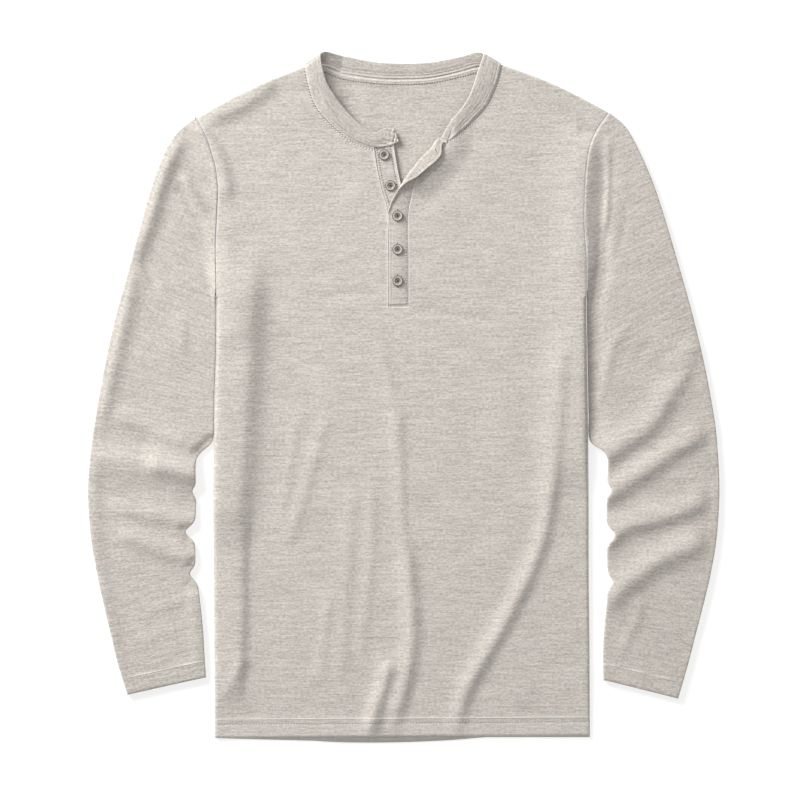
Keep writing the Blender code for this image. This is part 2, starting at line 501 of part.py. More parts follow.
def build_sleeve(name, sections, notches, creases, armhole, outward, material, collection):
    """A sleeve as a flat tube: a flat underside, a rolled outer and inner edge and a folded top."""
    rows = notched(sections, notches, outward)
    from_outer, from_inner = inward_directions(rows)
    top_shares = np.linspace(0.0, 1.0, SLEEVE_COLUMNS)
    under_shares = np.linspace(1.0, 0.0, SLEEVE_UNDER_COLUMNS)
    plan = []
    for number, row in enumerate(rows):
        outer, inner = row[0:2], row[2:4]
        start = outer + SLEEVE_ROLL * from_outer[number]
        stop = inner + SLEEVE_ROLL * from_inner[number]
        strength = max(0.0, 1.0 - number / BOWED_ROWS) ** 2
        fan = FAN_EASE[number] if number < len(FAN_EASE) else 0.0
        line = []
        for shares in (top_shares, under_shares):
            bow = bow_of(armhole, shares) * strength
            arch = np.sin(pi * shares)
            bow[:, 0] += outward * (SEAM_EASE * arch + fan * np.sqrt(np.abs(arch)))
            line.append(start + np.outer(shares, stop - start) + bow)
        rolls = [SLEEVE_ROLL * (1.0 - sin(angle)) for angle in ROLL_ANGLES]
        inner_roll = [inner + reach * from_inner[number] for reach in rolls]
        outer_roll = [outer + reach * from_outer[number] for reach in rolls]
        plan.append(np.vstack([line[0], inner_roll, line[1], outer_roll]))
    plan = np.array(plan)
    x, y = plan[..., 0], plan[..., 1]
    seam_share = np.clip(np.arange(len(rows)) / 3.0, 0.0, 1.0)[:, None]
    free = soft_floor(SLEEVE_REST + crease_height(x, y, creases), SLEEVE_LOWEST)
    sewn = np.maximum(front_height(x, y), SLEEVE_LOWEST + 1.2)
    top = seam_share * free + (1.0 - seam_share) * sewn
    height = np.zeros_like(top)
    height[:, :SLEEVE_COLUMNS] = top[:, :SLEEVE_COLUMNS]
    outer_roll = SLEEVE_COLUMNS + len(ROLL_ANGLES) + SLEEVE_UNDER_COLUMNS
    for k, angle in enumerate(ROLL_ANGLES):
        height[:, SLEEVE_COLUMNS + k] = top[:, SLEEVE_COLUMNS - 1] * 0.5 * (1.0 + cos(angle))
        height[:, outer_roll + k] = top[:, 0] * 0.5 * (1.0 - cos(angle))
    points = np.dstack([plan, height]).reshape(-1, 3)
    faces = grid_faces(len(rows), plan.shape[1], closed=True)
    if outward < 0.0:
        faces = [face[::-1] for face in faces]
    return add_wall(name, points, faces, WALL, material, collection)


def build_neckband(material, collection):
    """The neckband as a strip, its seam edge to its top edge, that folds over at both shoulders."""
    steps = [row.steps for row in NECKBAND_ROWS]
    rows = smooth_line([row[0:6] for row in NECKBAND_ROWS], steps)
    across = np.linspace(0.0, 1.0, 4)
    points = []
    for row in rows:
        seam, top = row[0:3], row[3:6]
        for share in across:
            crown = 0.5 * sin(pi * share)
            points.append(seam + (top - seam) * share + (0.0, 0.0, crown))
    faces = [face[::-1] for face in grid_faces(len(rows), len(across))]
    return add_wall("neckband", points, faces, BAND_WALL, material, collection)


def placket_line(row, height):
    """Points across the buttonhole placket: flat, then round the roll, then back over itself."""
    angle = radians(180.0 - row.turn)
    run = np.array((cos(angle), sin(angle)))
    points = []
    for width in np.linspace(0.0, PLACKET_WIDTH, PLACKET_COLUMNS):
        bent = (width - row.flat_run) / PLACKET_ROLL
        if bent <= 0.0:
            out, up = width, 0.0
        elif bent < pi:
            out, up = row.flat_run + PLACKET_ROLL * sin(bent), PLACKET_ROLL * (1.0 - cos(bent))
        else:
            back = width - row.flat_run - pi * PLACKET_ROLL
            out, up = row.flat_run - back, 2.0 * PLACKET_ROLL
        up += row.lift * (width / PLACKET_WIDTH) ** 2
        place = np.array((row.sewn_x, row.sewn_y)) + out * run
        points.append((place[0], place[1], height + up))
    return points


def build_over_placket(material, collection):
    """The buttonhole placket, lying on the front's points moved out, its upper end turned back."""
    rows = smooth_line(OVER_PLACKET_ROWS, [1] * (len(OVER_PLACKET_ROWS) - 1))
    points = []
    for row in [PlacketRow(*numbers) for numbers in rows]:
        under = front_height(np.array([row.sewn_x]), np.array([row.sewn_y]))[0]
        points += placket_line(row, max(under, BODY_REST) + OVER_PLACKET_RAISE)
    faces = [face[::-1] for face in grid_faces(len(rows), PLACKET_COLUMNS)]
    return add_wall("placket_over", points, faces, WALL, material, collection)


def build_under_placket(material, collection):
    """The button placket, level with the front, from its sewn edge to its free edge."""
    points = []
    for sewn, free in zip(UNDER_PLACKET_SEWN, UNDER_PLACKET_FREE):
        for share in np.linspace(0.0, 1.0, UNDER_PLACKET_COLUMNS + 1):
            x, y = np.array(sewn) + (np.array(free) - sewn) * share
            points.append((x, y, BODY_REST - UNDER_PLACKET_DROP))
    faces = grid_faces(len(UNDER_PLACKET_SEWN), UNDER_PLACKET_COLUMNS + 1)
    return add_wall("placket_under", points, faces, WALL, material, collection)


def build_button(number, centre, base, material, collection, cutters):
    """A turned button with a raised rim and a dished middle, pierced by four thread holes."""
    radius = 0.5 * BUTTON_DIAMETER
    top = BUTTON_THICKNESS
    profile = [(0.0, 0.62 * top), (0.56 * radius, 0.62 * top), (0.72 * radius, top),
               (0.9 * radius, 0.96 * top), (radius, 0.55 * top), (0.86 * radius, 0.0), (0.0, 0.0)]
    mesh = bpy.data.meshes.new(f"button_{number}")
    points = [(x * MM, 0.0, z * MM) for x, z in profile]
    mesh.from_pydata(points, [(i, i + 1) for i in range(len(points) - 1)], [])
    mesh.materials.append(material)
    button = bpy.data.objects.new(f"button_{number}", mesh)
    button.location = (centre[0] * MM, centre[1] * MM, base * MM)
    collection.objects.link(button)
    turn = button.modifiers.new("Turned", "SCREW")
    turn.steps = 16
    turn.render_steps = 16
    turn.use_merge_vertices = True
    turn.merge_threshold = 0.00001
    for k in range(4):
        angle = radians(45.0 + 90.0 * k)
        reach = 0.5 * BUTTON_HOLE_SPACING * 2.0 ** 0.5
        hole_mesh = bpy.data.meshes.new(f"hole_{number}_{k + 1}")
        shape = bmesh.new()
        bmesh.ops.create_cone(shape, cap_ends=True, segments=5, radius1=0.5 * BUTTON_HOLE * MM,
                              radius2=0.5 * BUTTON_HOLE * MM, depth=3.0 * BUTTON_THICKNESS * MM)
        shape.to_mesh(hole_mesh)
        shape.free()
        hole = bpy.data.objects.new(hole_mesh.name, hole_mesh)
        hole.location = ((centre[0] + reach * cos(angle)) * MM, (centre[1] + reach * sin(angle)) * MM,
                         base * MM)
        hole.hide_render = True
        hole.display_type = "WIRE"
        cutters.objects.link(hole)
        cut = button.modifiers.new(f"Hole {k + 1}", "BOOLEAN")
        cut.operation = "DIFFERENCE"
        cut.object = hole
    return button


def build_shirt():
    clear_scene()
    shirt = bpy.data.collections.new("henley_shirt")
    cutters = bpy.data.collections.new("cutters")
    bpy.context.scene.collection.children.link(shirt)
    bpy.context.scene.collection.children.link(cutters)

    right_armhole, left_armhole = armhole_lines()
    build_front(make_material("jersey_front", CLOTH_COLOUR, 0.9), shirt)
    build_back(make_material("jersey_back", CLOTH_COLOUR, 0.9), shirt)
    build_sleeve("sleeve_right", RIGHT_SLEEVE, RIGHT_NOTCHES, RIGHT_SLEEVE_CREASES,
                 right_armhole[::-1], -1.0, make_material("jersey_sleeve_right", CLOTH_COLOUR, 0.9), shirt)
    build_sleeve("sleeve_left", LEFT_SLEEVE, LEFT_NOTCHES, LEFT_SLEEVE_CREASES,
                 left_armhole[::-1], 1.0, make_material("jersey_sleeve_left", CLOTH_COLOUR, 0.9), shirt)
    build_neckband(make_material("jersey_neckband", CLOTH_COLOUR, 0.9), shirt)
    build_under_placket(make_material("jersey_placket_under", CLOTH_COLOUR, 0.9), shirt)
    build_over_placket(make_material("jersey_placket_over", CLOTH_COLOUR, 0.9), shirt)
    for number, centre in enumerate(BUTTON_CENTRES, start=1):
        base = BODY_REST - UNDER_PLACKET_DROP + GAP
        if number in BUTTONS_ON_OVER_PLACKET:
            base = BODY_REST + OVER_PLACKET_RAISE + GAP + OVER_PLACKET_FULLNESS
        build_button(number, centre, base, make_material(f"button_finish_{number}", BUTTON_COLOUR, 0.4),
                     shirt, cutters)


build_shirt()
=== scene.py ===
from collections import namedtuple
from math import cos, pi, radians, sin

import bmesh
import bpy
import numpy as np
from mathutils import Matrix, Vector
from mathutils.bvhtree import BVHTree


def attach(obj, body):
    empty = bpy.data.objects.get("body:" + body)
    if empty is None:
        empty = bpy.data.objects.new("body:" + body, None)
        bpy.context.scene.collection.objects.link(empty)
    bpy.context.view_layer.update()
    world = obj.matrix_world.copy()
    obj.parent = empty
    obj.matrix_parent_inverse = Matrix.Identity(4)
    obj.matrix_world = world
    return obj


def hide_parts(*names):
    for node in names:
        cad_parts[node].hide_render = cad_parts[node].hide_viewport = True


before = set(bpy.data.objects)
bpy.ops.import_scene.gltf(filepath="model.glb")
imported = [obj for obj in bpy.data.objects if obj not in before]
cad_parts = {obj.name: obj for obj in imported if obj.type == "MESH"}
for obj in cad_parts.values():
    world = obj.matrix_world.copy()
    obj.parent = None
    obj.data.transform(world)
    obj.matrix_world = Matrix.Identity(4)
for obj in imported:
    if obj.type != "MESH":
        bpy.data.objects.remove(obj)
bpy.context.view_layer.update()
bpy.ops.object.select_all(action="DESELECT")

# --------------------------------------
# Front. One panel of slub jersey, cut out at the neck and slit down the middle for the placket. It is
# sewn to the back at the shoulders and sides and to the sleeves at the armholes. It lies over the back
# in soft folds, and its hem is turned up once. Tables are in millimetres, MM turns them into metres.
MM = 0.001
JERSEY = 0.9                # thickness of the cloth
BODY_REST = 4.7             # height of the front's face where the two panels lie on each other
FRONT_LOWEST, FLOOR_SOFTNESS = 2.4, 0.8
SIDE_FULLNESS, SIDE_FULLNESS_WIDTH = 1.2, 30.0
NECK_FULLNESS, NECK_FULLNESS_WIDTH = (4.2, 2.6), 62.0      # at the wearer's right and left
HEM_FLATTENING, HEM_FLATTENING_WIDTH = 2.0, 60.0
SIDE_ROLL = 3.8             # radius of the roll down to the side seams and armholes
SHOULDER_ROLL = 2.2         # and of the one at the shoulder seams
SEAM_HEIGHT = 1.9           # height of the front's edge over the surface
EDGE_STEPS = (0.0, 0.35, 0.8, 1.5, 2.6, 4.2)     # columns that round a rolled edge
INNER_STEPS = (0.0, 0.5, 1.1, 2.0)               # and those of the neck and slot edges
SHOULDER_STEPS = (0.35, 0.6, 0.8, 0.92)          # rows added in the last one, to round the shoulder
SHOULDER_BOW = 4.2          # how far the shoulder seam bows out between its ends
HALF_COLUMNS, SLOT_COLUMNS = 58, 7
FINE, HEM_FINE = 8, 18      # rows of mesh to a row of the tables, and to the one at the hem
SLOT_FOOT_ROWS = 10         # rows of mesh between the two tables
HEM_DEPTH = 20.0            # from the fold to the stitching
HEM_SLOPE = 2.6             # the hem is this much higher at the wearer's left
HEM_SLOPE_FROM, HEM_SLOPE_HEIGHT = -330.0, 30.0
RIPPLE = 0.05               # height of the small unevenness all over the cloth

# Side to side below the armholes: x at the wearer's right, x at the left, y.
LOWER_ROWS = [
    (-207.9, 205.2, -373.6), (-207.8, 205.1, -352), (-207.7, 205, -330), (-207.9, 204.9, -307),
    (-208.1, 204.8, -284), (-208.2, 204.6, -261), (-208.4, 204.4, -238), (-208.6, 204.1, -214),
    (-208.8, 203.9, -190), (-209, 203.8, -166), (-209.2, 203.8, -141), (-209.4, 203.8, -116),
    (-209.3, 203.7, -90), (-209, 203.5, -62), (-208.4, 203.2, -33), (-207.6, 202.8, -4),
    (-206.8, 202.3, 25), (-206.1, 201.8, 55), (-205.7, 201.4, 83),
]
# From there up, x and y at the wearer's right side, at both edges of the slot and then of the neckline,
# and at the left side.
UPPER_ROWS = [
    (-205.6, 108, -16.5, 99.6, 5.4, 99.6, 201.2, 108), (-205.7, 118, -16.5, 126, 5.4, 126, 201.2, 118),
    (-205.8, 130, -16.5, 157, 5.4, 157, 201.3, 130), (-206.3, 155, -17.2, 202.7, 5.2, 200.2, 201.1, 155),
    (-205.2, 180, -23.7, 228.6, 9, 222, 199.3, 180), (-204, 205, -28.5, 251.1, 13.6, 240, 198.3, 207),
    (-203.5, 225, -32.3, 275.2, 24.5, 260.2, 199, 230),
    (-204.9, 241, -48.2, 280.5, 43.5, 278.9, 200.3, 250), (-207, 255, -65.7, 291, 57.1, 289.3, 203, 270),
    (-210.5, 267, -83.3, 306.8, 74.6, 305, 207.5, 284),
    (-215, 283, -95.5, 322.5, 90.4, 322.5, 212.9, 294.8),
    (-221, 296.8, -103.4, 345.4, 100.9, 345.4, 219, 304),
    (-227.7, 307.8, -106.9, 364.7, 106.2, 366.4, 225.6, 312.9),
]
RIGHT_CORNER, LEFT_CORNER = 6, 7                 # rows where the slot meets the neckline

# Folds: height over the cloth (troughs are negative), half widths to the left and right of the line
# they follow, then x and y along that line.
LEFT_ARMHOLE_FOLD = (5.2, 12, 27, 209.6, 302.5, 203, 271.7, 198.6, 238.7, 196.4, 200.2, 196.4, 156.2, 197.5,
                     106.7)
BODY_CREASES = [
    (8.2, 16.5, 32, -172, 182, -169.5, 140, -169.8, 100, -171.2, 60, -173.5, 25, -177.3, -25.3, -179.6,
     -69.3, -182.8, -110, -187.5, -141, -194, -172),
    (3, 16, 20, -203, 172.7, -203, 106.7, -204.1, -3.3, -205.2, -91.3, -205.2, -179.3),
    (3.9, 6.2, 30, -173.2, -107.8, -177.7, -157.3, -178.2, -201.3, -178.2, -245.3, -179.9, -278.3, -182.1,
     -311.3, -184.3, -350.9),
    (3.2, 18, 20, -199.7, 219.2, -197.4, 167.2, -191.9, 123.2, -185.1, 86.9, -178.1, 47),
    (1.4, 6.5, 9, -80.9, -8.8, -91.9, -47.3, -105.1, -93.5, -118.3, -137.5, -131.5, -174.9),
    (1.1, 7, 9, -54.5, -80.3, -60, -146.3, -63.3, -212.3, -66.6, -278.3, -72.1, -322.3),
    (0.9, 6, 7, -111.7, -8.8, -124.9, -74.8, -135.9, -146.3),
    (1.1, 6, 7, -79.8, -206.8, -87.5, -267.3, -94.1, -322.3),
    (1.1, 5, 7, -34.7, -80.3, -34.7, -157.3, -41.2, -234.3, -47.9, -300.3),
    (0.8, 6, 7, -25.9, 62.7, -12.7, -3.3, -8.2, -80.3),
    (1.5, 4.5, 10, -3.9, 2.2, -3.9, -47.3, -1.7, -113.3, 0.6, -179.3),
    (4.4, 8, 11, 0.6, -135.3, 4.4, -179.3, 8.8, -223.3, 9.9, -256.3, 7.7, -283.8, 1.1, -316.8, -7.2, -346.5,
     -16, -382.8),
    (5, 8, 9, -13.8, -283.8, -20.4, -313.5, -29.2, -339.9, -41.2, -382.8),
    (2.8, 8, 15, 173.8, 72, 172.2, 18.7, 168.9, -36.3, 163.4, -91.3, 153.5, -146.3),
    (4.2, 7.5, 10, 171.1, -36.3, 162.2, -113.3, 152.4, -157.3, 138.1, -195.8, 120.5, -231, 102.9, -264,
     83.1, -297, 68.8, -324.5, 60, -357.5, 53.4, -401.5),
    (1.3, 6, 7, -199.7, -335.5, -185.4, -304.7, -168.9, -280.5),
    (-0.7, 5, 5, -118.3, 114.4, -86.4, 111.1, -47.9, 114.4, -19.2, 111.1),
    (-1, 5, 5, 18.2, 96.8, 40.2, 93.5, 73.2, 88, 111.7, 80.3),
    (3.6, 9.5, 20, -136, 347, -149.9, 341, -167.5, 329, -185.1, 317.4, -202.7, 311.2, -219.4, 305),
    (-1, 7, 7, -138.1, 337.7, -116.1, 335.5, -96.3, 326.7, -89.7, 313.5),
    (4, 7.5, 12, -232.7, 306.9, -220.6, 293.7, -209.6, 277.2, -200.8, 258.5, -195.3, 235.4, -193.1, 203.5),
    (-2, 6, 7, 190, 293.5, 202, 292, 214, 288.5, 229.4, 280),
    LEFT_ARMHOLE_FOLD,
    (5.4, 8, 32, 197.5, 161.7, 197.5, 84.7, 197.5, 18.7, 197.5, -47.3, 199.7, -113.3),
    (-1.6, 12, 12, 11.6, 205.7, 40.2, 232.1, 66.6, 262.9, 82, 302.5),
    (4.4, 28, 8, 66.6, 298.1, 47.9, 273.9, 29.2, 251.9, 9.4, 225.5),
]

# A mark is a narrow ridge, groove, or pale line of wear and painted highlight beside a seam: distance from
# it, half width, strength.
Mark = namedtuple("Mark", "at width amount")
HEM_RELIEF = Mark(HEM_DEPTH, 0.9, 0.3), Mark(HEM_DEPTH - 5.0, 1.6, -0.3)
HEM_DIP = 1.1, 1.4          # depth and width
# Pale lines painted on the front at the hem stitching and fold, over the whole turn-up, at the neck edge and
# at the armholes: wear and painted highlight.
HEM_WEAR_AND_HIGHLIGHT = Mark(HEM_DEPTH, 0.8, 0.7), Mark(0.0, 1.0, 0.45)
TURN_UP_WEAR_AND_HIGHLIGHT = 0.1
NECK_EDGE, NECK_GROOVE = Mark(0.8, 0.8, 1.0), Mark(2.4, 0.8, -0.2)
NECK_EDGE_HEIGHTS = (150.0, 220.0, 262.0, 285.0), (0.12, 0.2, 0.3, 0.55)     # at these y
NECK_WEAR_AND_HIGHLIGHT = Mark(0.7, 0.9, 1.0)
# The neck edge is painted paler higher up, and paler still on the wearer's left, where the extra is painted
# highlight only.
NECK_WEAR_AND_HIGHLIGHT_SHARES, LEFT_NECK_HIGHLIGHT = ((150.0, 262.0, 285.0), (0.35, 0.5, 0.75)), 0.2
ARMHOLE_DIP, ARMHOLE_FOOT = (0.6, 1.0), 112.0
ARMHOLE_WEAR_AND_HIGHLIGHT = Mark(0.0, 0.8, 0.12)


def marks(distance, *rows):
    return sum(mark.amount * np.exp(-((distance - mark.at) / mark.width) ** 2) for mark in rows)


def smooth_line(points, steps):
    """Points on a smooth curve through the given ones, with steps or steps[i] pieces after point i."""
    if isinstance(steps, int):
        steps = [steps] * (len(points) - 1)
    known = np.array(points, float)
    padded = np.vstack([[2.0 * known[0] - known[1]], known, [2.0 * known[-1] - known[-2]]])
    line = []
    for i in range(len(known) - 1):
        before, start, stop, after = padded[i:i + 4]
        for k in range(steps[i]):
            t = k / steps[i]
            line.append(0.5 * (2.0 * start + (stop - before) * t
                               + (2.0 * before - 5.0 * start + 4.0 * stop - after) * t * t
                               + (3.0 * start - before - 3.0 * stop + after) * t ** 3))
    line.append(known[-1])
    return np.array(line)


def cornered_line(points, corner):
    """A smooth line with one sharp corner in it."""
    return np.vstack([smooth_line(points[:corner + 1], FINE)[:-1], smooth_line(points[corner:], FINE)])


def place_on_line(x, y, line):
    """Distance in the plan to a line, the share of it passed there, and which side the point is on."""
    best = np.full(np.shape(x), np.inf)
    passed = np.zeros(np.shape(x))
    side = np.zeros(np.shape(x))
    for i, ((ax, ay), (bx, by)) in enumerate(zip(line[:-1], line[1:])):
        run_x, run_y = bx - ax, by - ay
        share = np.clip(((x - ax) * run_x + (y - ay) * run_y) / (run_x ** 2 + run_y ** 2), 0.0, 1.0)
        gap_x, gap_y = x - ax - share * run_x, y - ay - share * run_y
        away = np.hypot(gap_x, gap_y)
        nearer = away < best
        best = np.where(nearer, away, best)
        passed = np.where(nearer, (i + share) / (len(line) - 1), passed)
        side = np.where(nearer, run_x * gap_y - run_y * gap_x, side)
    return best, passed, side


def distance_to(x, y, *lines):
    return np.minimum.reduce([place_on_line(x, y, line)[0] for line in lines])


def eased(share):
    return share * share * (3.0 - 2.0 * share)


def crease_height(x, y, creases):
    """Sum of soft ridges and troughs, each fading out over the first and last fifth of its line."""
    total = np.zeros(np.shape(x))
    for height, left_width, right_width, *path in creases:
        line = smooth_line(np.reshape(path, (-1, 2)), 5)
        reach = 3.0 * max(left_width, right_width)
        low, high = line.min(axis=0) - reach, line.max(axis=0) + reach
        near = (x > low[0]) & (x < high[0]) & (y > low[1]) & (y < high[1])
        away, passed, side = place_on_line(x[near], y[near], line)
        fade = eased(np.clip(5.0 * passed, 0.0, 1.0) * np.clip(5.0 * (1.0 - passed), 0.0, 1.0))
        width = np.where(side > 0.0, left_width, right_width)
        total[near] += height * fade * np.exp(-(away / width) ** 2)
    return total


def ripples(x, y, seed):
    """Small uneven swells, as cloth has that was smoothed by hand."""
    draw = np.random.default_rng(seed)
    shortest, longest = 16.0, 75.0
    total = np.zeros(np.shape(x))
    for _ in range(26):
        length = draw.uniform(shortest, longest)
        heading = draw.uniform(0.0, pi)
        phase = draw.uniform(0.0, 2.0 * pi)
        total += (length / longest) * np.sin((x * cos(heading) + y * sin(heading)) * 2.0 * pi / length
                                             + phase)
    return total


def soft_floor(height, lowest):
    """Height that eases onto a lowest value instead of dropping below it."""
    return lowest + 0.5 * ((height - lowest) + np.sqrt((height - lowest) ** 2 + FLOOR_SOFTNESS))


def roll(distance, radius):
    """Rise of a rolled edge, from 0 at the edge to 1 one radius in."""
    short = 1.0 - np.clip(distance / radius, 0.0, 1.0)
    return np.sqrt(1.0 - short ** 2)


def dip(distance, depth, radius):
    """How far cloth is pulled down beside a seam, from this depth at the seam to 0 one radius away."""
    return depth * (1.0 - roll(distance, radius))


def bowed(shares, outer, inner):
    """Points at these shares of a shoulder seam, which bows outwards between its ends."""
    line = outer + np.outer(shares, inner - outer)
    line[:, 1] += SHOULDER_BOW * np.sin(pi * shares)
    return line


lower = smooth_line(LOWER_ROWS, [HEM_FINE] + [FINE] * (len(LOWER_ROWS) - 2))
upper = np.array(UPPER_ROWS)
right_armhole, left_armhole = smooth_line(upper[:, 0:2], FINE), smooth_line(upper[:, 6:8], FINE)
right_neckline = cornered_line(upper[:, 2:4], RIGHT_CORNER)
left_neckline = cornered_line(upper[:, 4:6], LEFT_CORNER)
right_side = np.vstack([lower[:, [0, 2]], right_armhole[:1]])
left_side = np.vstack([lower[:, [1, 2]], left_armhole[:1]])
right_shoulder = bowed(np.arange(13) / 12.0, right_armhole[-1], right_neckline[-1])
left_shoulder = bowed(np.arange(13) / 12.0, left_armhole[-1], left_neckline[-1])
hem_right_x, hem_left_x, hem_y = LOWER_ROWS[0]
tilt = HEM_SLOPE / (hem_left_x - hem_right_x)


def front_height(x, y):
    """Height of the front's face: its rest, its fullness at the sides and neck, its folds and rolls."""
    side = distance_to(x, y, right_side, left_side)
    shoulder = distance_to(x, y, right_shoulder, left_shoulder)
    height = BODY_REST + SIDE_FULLNESS * np.exp(-side / SIDE_FULLNESS_WIDTH)
    for (neck_x, neck_y), fullness in zip((right_neckline[-1], left_neckline[-1]), NECK_FULLNESS):
        height = height + marks(np.hypot(x - neck_x, y - neck_y), Mark(0.0, NECK_FULLNESS_WIDTH, fullness))
    height = height - HEM_FLATTENING * np.exp(-(y - hem_y) / HEM_FLATTENING_WIDTH)
    height = height + crease_height(x, y, BODY_CREASES) + RIPPLE * ripples(x, y, 3)
    height = soft_floor(height, FRONT_LOWEST)
    return SEAM_HEIGHT + (height - SEAM_HEIGHT) * roll(side, SIDE_ROLL) * roll(shoulder, SHOULDER_ROLL)


def half_line(outer, inner):
    """Points from a side or armhole in to the middle, closer together at both edges."""
    length = np.hypot(*(inner - outer))
    rest = np.linspace(EDGE_STEPS[-1], length - INNER_STEPS[-1], HALF_COLUMNS + 1)[1:]
    reach = np.concatenate([EDGE_STEPS, rest, length - np.array(INNER_STEPS[-2::-1])])
    return outer + np.outer(reach / length, inner - outer)


def panel_line(right_outer, right_inner, left_inner, left_outer):
    middle = right_inner + np.outer(np.arange(1, SLOT_COLUMNS) / SLOT_COLUMNS, left_inner - right_inner)
    return np.vstack([half_line(right_outer, right_inner), middle, half_line(left_outer, left_inner)[::-1]])


def rows_between(first, last, shares):
    return [(1.0 - share) * first + share * last for share in shares]


def grid_faces(rows, columns, closed=False, flip=False):
    """Four-sided faces of a grid stored row by row; a closed grid joins its last column to its first."""
    faces = []
    for i in range(rows - 1):
        for k in range(columns if closed else columns - 1):
            here, after = i * columns + k, i * columns + (k + 1) % columns
            face = (here, after, after + columns, here + columns)
            faces.append(face[::-1] if flip else face)
    return faces


class Number:
    """A number that varies over a surface, as a socket. Python's operators add Math nodes to it."""

    def __init__(self, finish, socket):
        self.finish, self.socket = finish, socket

    def math(self, operation, *values):
        node = self.finish.add("ShaderNodeMath", {"operation": operation}, dict(enumerate(values)))
        return Number(self.finish, node.outputs[0])

    def __add__(self, other):
        return self.math("ADD", self, other)

    def __sub__(self, other):
        return self.math("SUBTRACT", self, other)

    def __rsub__(self, other):
        return self.math("SUBTRACT", other, self)

    def __mul__(self, other):
        return self.math("MULTIPLY", self, other)

    def __pow__(self, other):
        return self.math("POWER", self, other)

    __radd__ = __add__
    __rmul__ = __mul__


class Finish:
    """A material with one Principled surface, built up node by node."""

    def __init__(self, name):
        self.material = bpy.data.materials.new(name)
        self.material.use_nodes = True
        self.tree = self.material.node_tree
        self.surface = self.tree.nodes["Principled BSDF"]

    def link(self, value, socket):
        if isinstance(value, Number):
            value = value.socket
        if isinstance(value, bpy.types.NodeSocket):
            self.tree.links.new(value, socket)
        else:
            socket.default_value = value

    def add(self, kind, settings, sockets):
        node = self.tree.nodes.new(kind)
        for name, value in settings.items():
            setattr(node, name, value)
        for name, value in sockets.items():
            self.link(value, node.inputs[name])
        return node

    def set(self, **sockets):
        for name, value in sockets.items():
            self.link(value, self.surface.inputs[name.replace("_", " ")])

    def position(self):
        return self.add("ShaderNodeTexCoord", {}, {}).outputs["Object"]

    def attribute(self, name):
        return Number(self, self.add("ShaderNodeAttribute", {"attribute_name": name}, {}).outputs["Fac"])

    def noise(self, where, scale, detail=2.0, roughness=0.5, shift=0.0):
        """Uneven pattern with its own scale along each direction; flat where the third scale is 0."""
        placed = self.add("ShaderNodeMapping", {}, {"Vector": where, "Location": (shift, shift, 0.0),
                                                    "Scale": scale})
        node = self.add("ShaderNodeTexNoise", {"noise_dimensions": "2D" if scale[2] == 0.0 else "3D"},
                        {"Vector": placed.outputs[0], "Scale": 1.0, "Detail": detail,
                         "Roughness": roughness})
        return Number(self, node.outputs[0])

    def blend(self, share, first, second):
        """One colour turning into another."""
        node = self.add("ShaderNodeMix", {"data_type": "RGBA", "clamp_factor": True},
                        {0: share, 6: first, 7: second})
        return node.outputs[2]

    def bump(self, strength, distance, height):
        return self.add("ShaderNodeBump", {}, {"Strength": strength, "Distance": distance,
                                               "Height": height}).outputs[0]


DARK_YARN, LIGHT_YARN = (0.400, 0.362, 0.322, 1.0), (0.715, 0.674, 0.622, 1.0)
WARM_TINT, COOL_TINT = (0.585, 0.522, 0.478, 1.0), (0.530, 0.530, 0.482, 1.0)
TINT_SHARE = 0.14
# Pale colour painted along edges, seams and folds: partly wear, partly painted highlight where they catch the
# light.
WEAR_AND_HIGHLIGHT_COLOUR = (0.83, 0.80, 0.755, 1.0)
WALE, COURSE = 0.00095, 0.0007     # width of a column of knit stitches and height of a row, in metres


def jersey_finish(name, shift, tone_shift=0.0):
    """Slub jersey in heathered yarn: thick and thin courses, flecks, a soft knit relief, and a tone made
    lighter or darker for the piece.
    """
    finish = Finish(f"slub_jersey_{name}")
    cloth = finish.add("ShaderNodeUVMap", {"uv_map": "Cloth"}, {}).outputs[0]
    fleck = finish.noise(cloth, (300.0, 500.0, 0.0), 2.0, 0.65, shift)
    slub = finish.noise(cloth, (80.0, 420.0, 0.0), 2.0, 0.6, shift + 7.0)
    long_slub = finish.noise(cloth, (26.0, 235.0, 0.0), 2.0, 0.5, shift + 13.0)
    patch = finish.noise(cloth, (26.0, 44.0, 0.0), 2.0, 0.5, shift + 19.0)
    tint = finish.noise(cloth, (34.0, 60.0, 0.0), 2.0, 0.5, shift + 29.0)

    yarn = (0.5 + tone_shift + (fleck - 0.5) * 1.6 + (slub - 0.5) * 0.7 + (long_slub - 0.5) * 0.6
            + (patch - 0.5) * 0.25)
    colour = finish.blend(yarn, DARK_YARN, LIGHT_YARN)
    colour = finish.blend(TINT_SHARE, colour, finish.blend((tint - 0.36) * 3.6, WARM_TINT, COOL_TINT))
    # Paler where the pieces mark it: wear and painted highlight along edges, seams and folds.
    colour = finish.blend(finish.attribute("wear_and_highlight"), colour, WEAR_AND_HIGHLIGHT_COLOUR)

    apart = finish.add("ShaderNodeSeparateXYZ", {}, {"Vector": cloth})
    across, along = Number(finish, apart.outputs[0]), Number(finish, apart.outputs[1])
    leg = across.math("PINGPONG", across * (1.0 / WALE), 0.5)
    row = across.math("SINE", (along * (1.0 / COURSE) + leg) * (2.0 * pi))
    relief = slub * 1.1 + long_slub * 0.8 + fleck * 0.7 + leg * 0.22 + row * 0.06
    finish.set(Base_Color=colour, Roughness=0.82 + fleck * 0.16, Normal=finish.bump(0.55, 0.0006, relief),
               Sheen_Weight=0.22, Sheen_Roughness=0.55, Specular_IOR_Level=0.18)
    return finish.material


def select_only(*pieces):
    """Selects these pieces and makes the first the active one."""
    bpy.ops.object.select_all(action="DESELECT")
    for piece in pieces:
        piece.select_set(True)
    bpy.context.view_layer.objects.active = pieces[0]


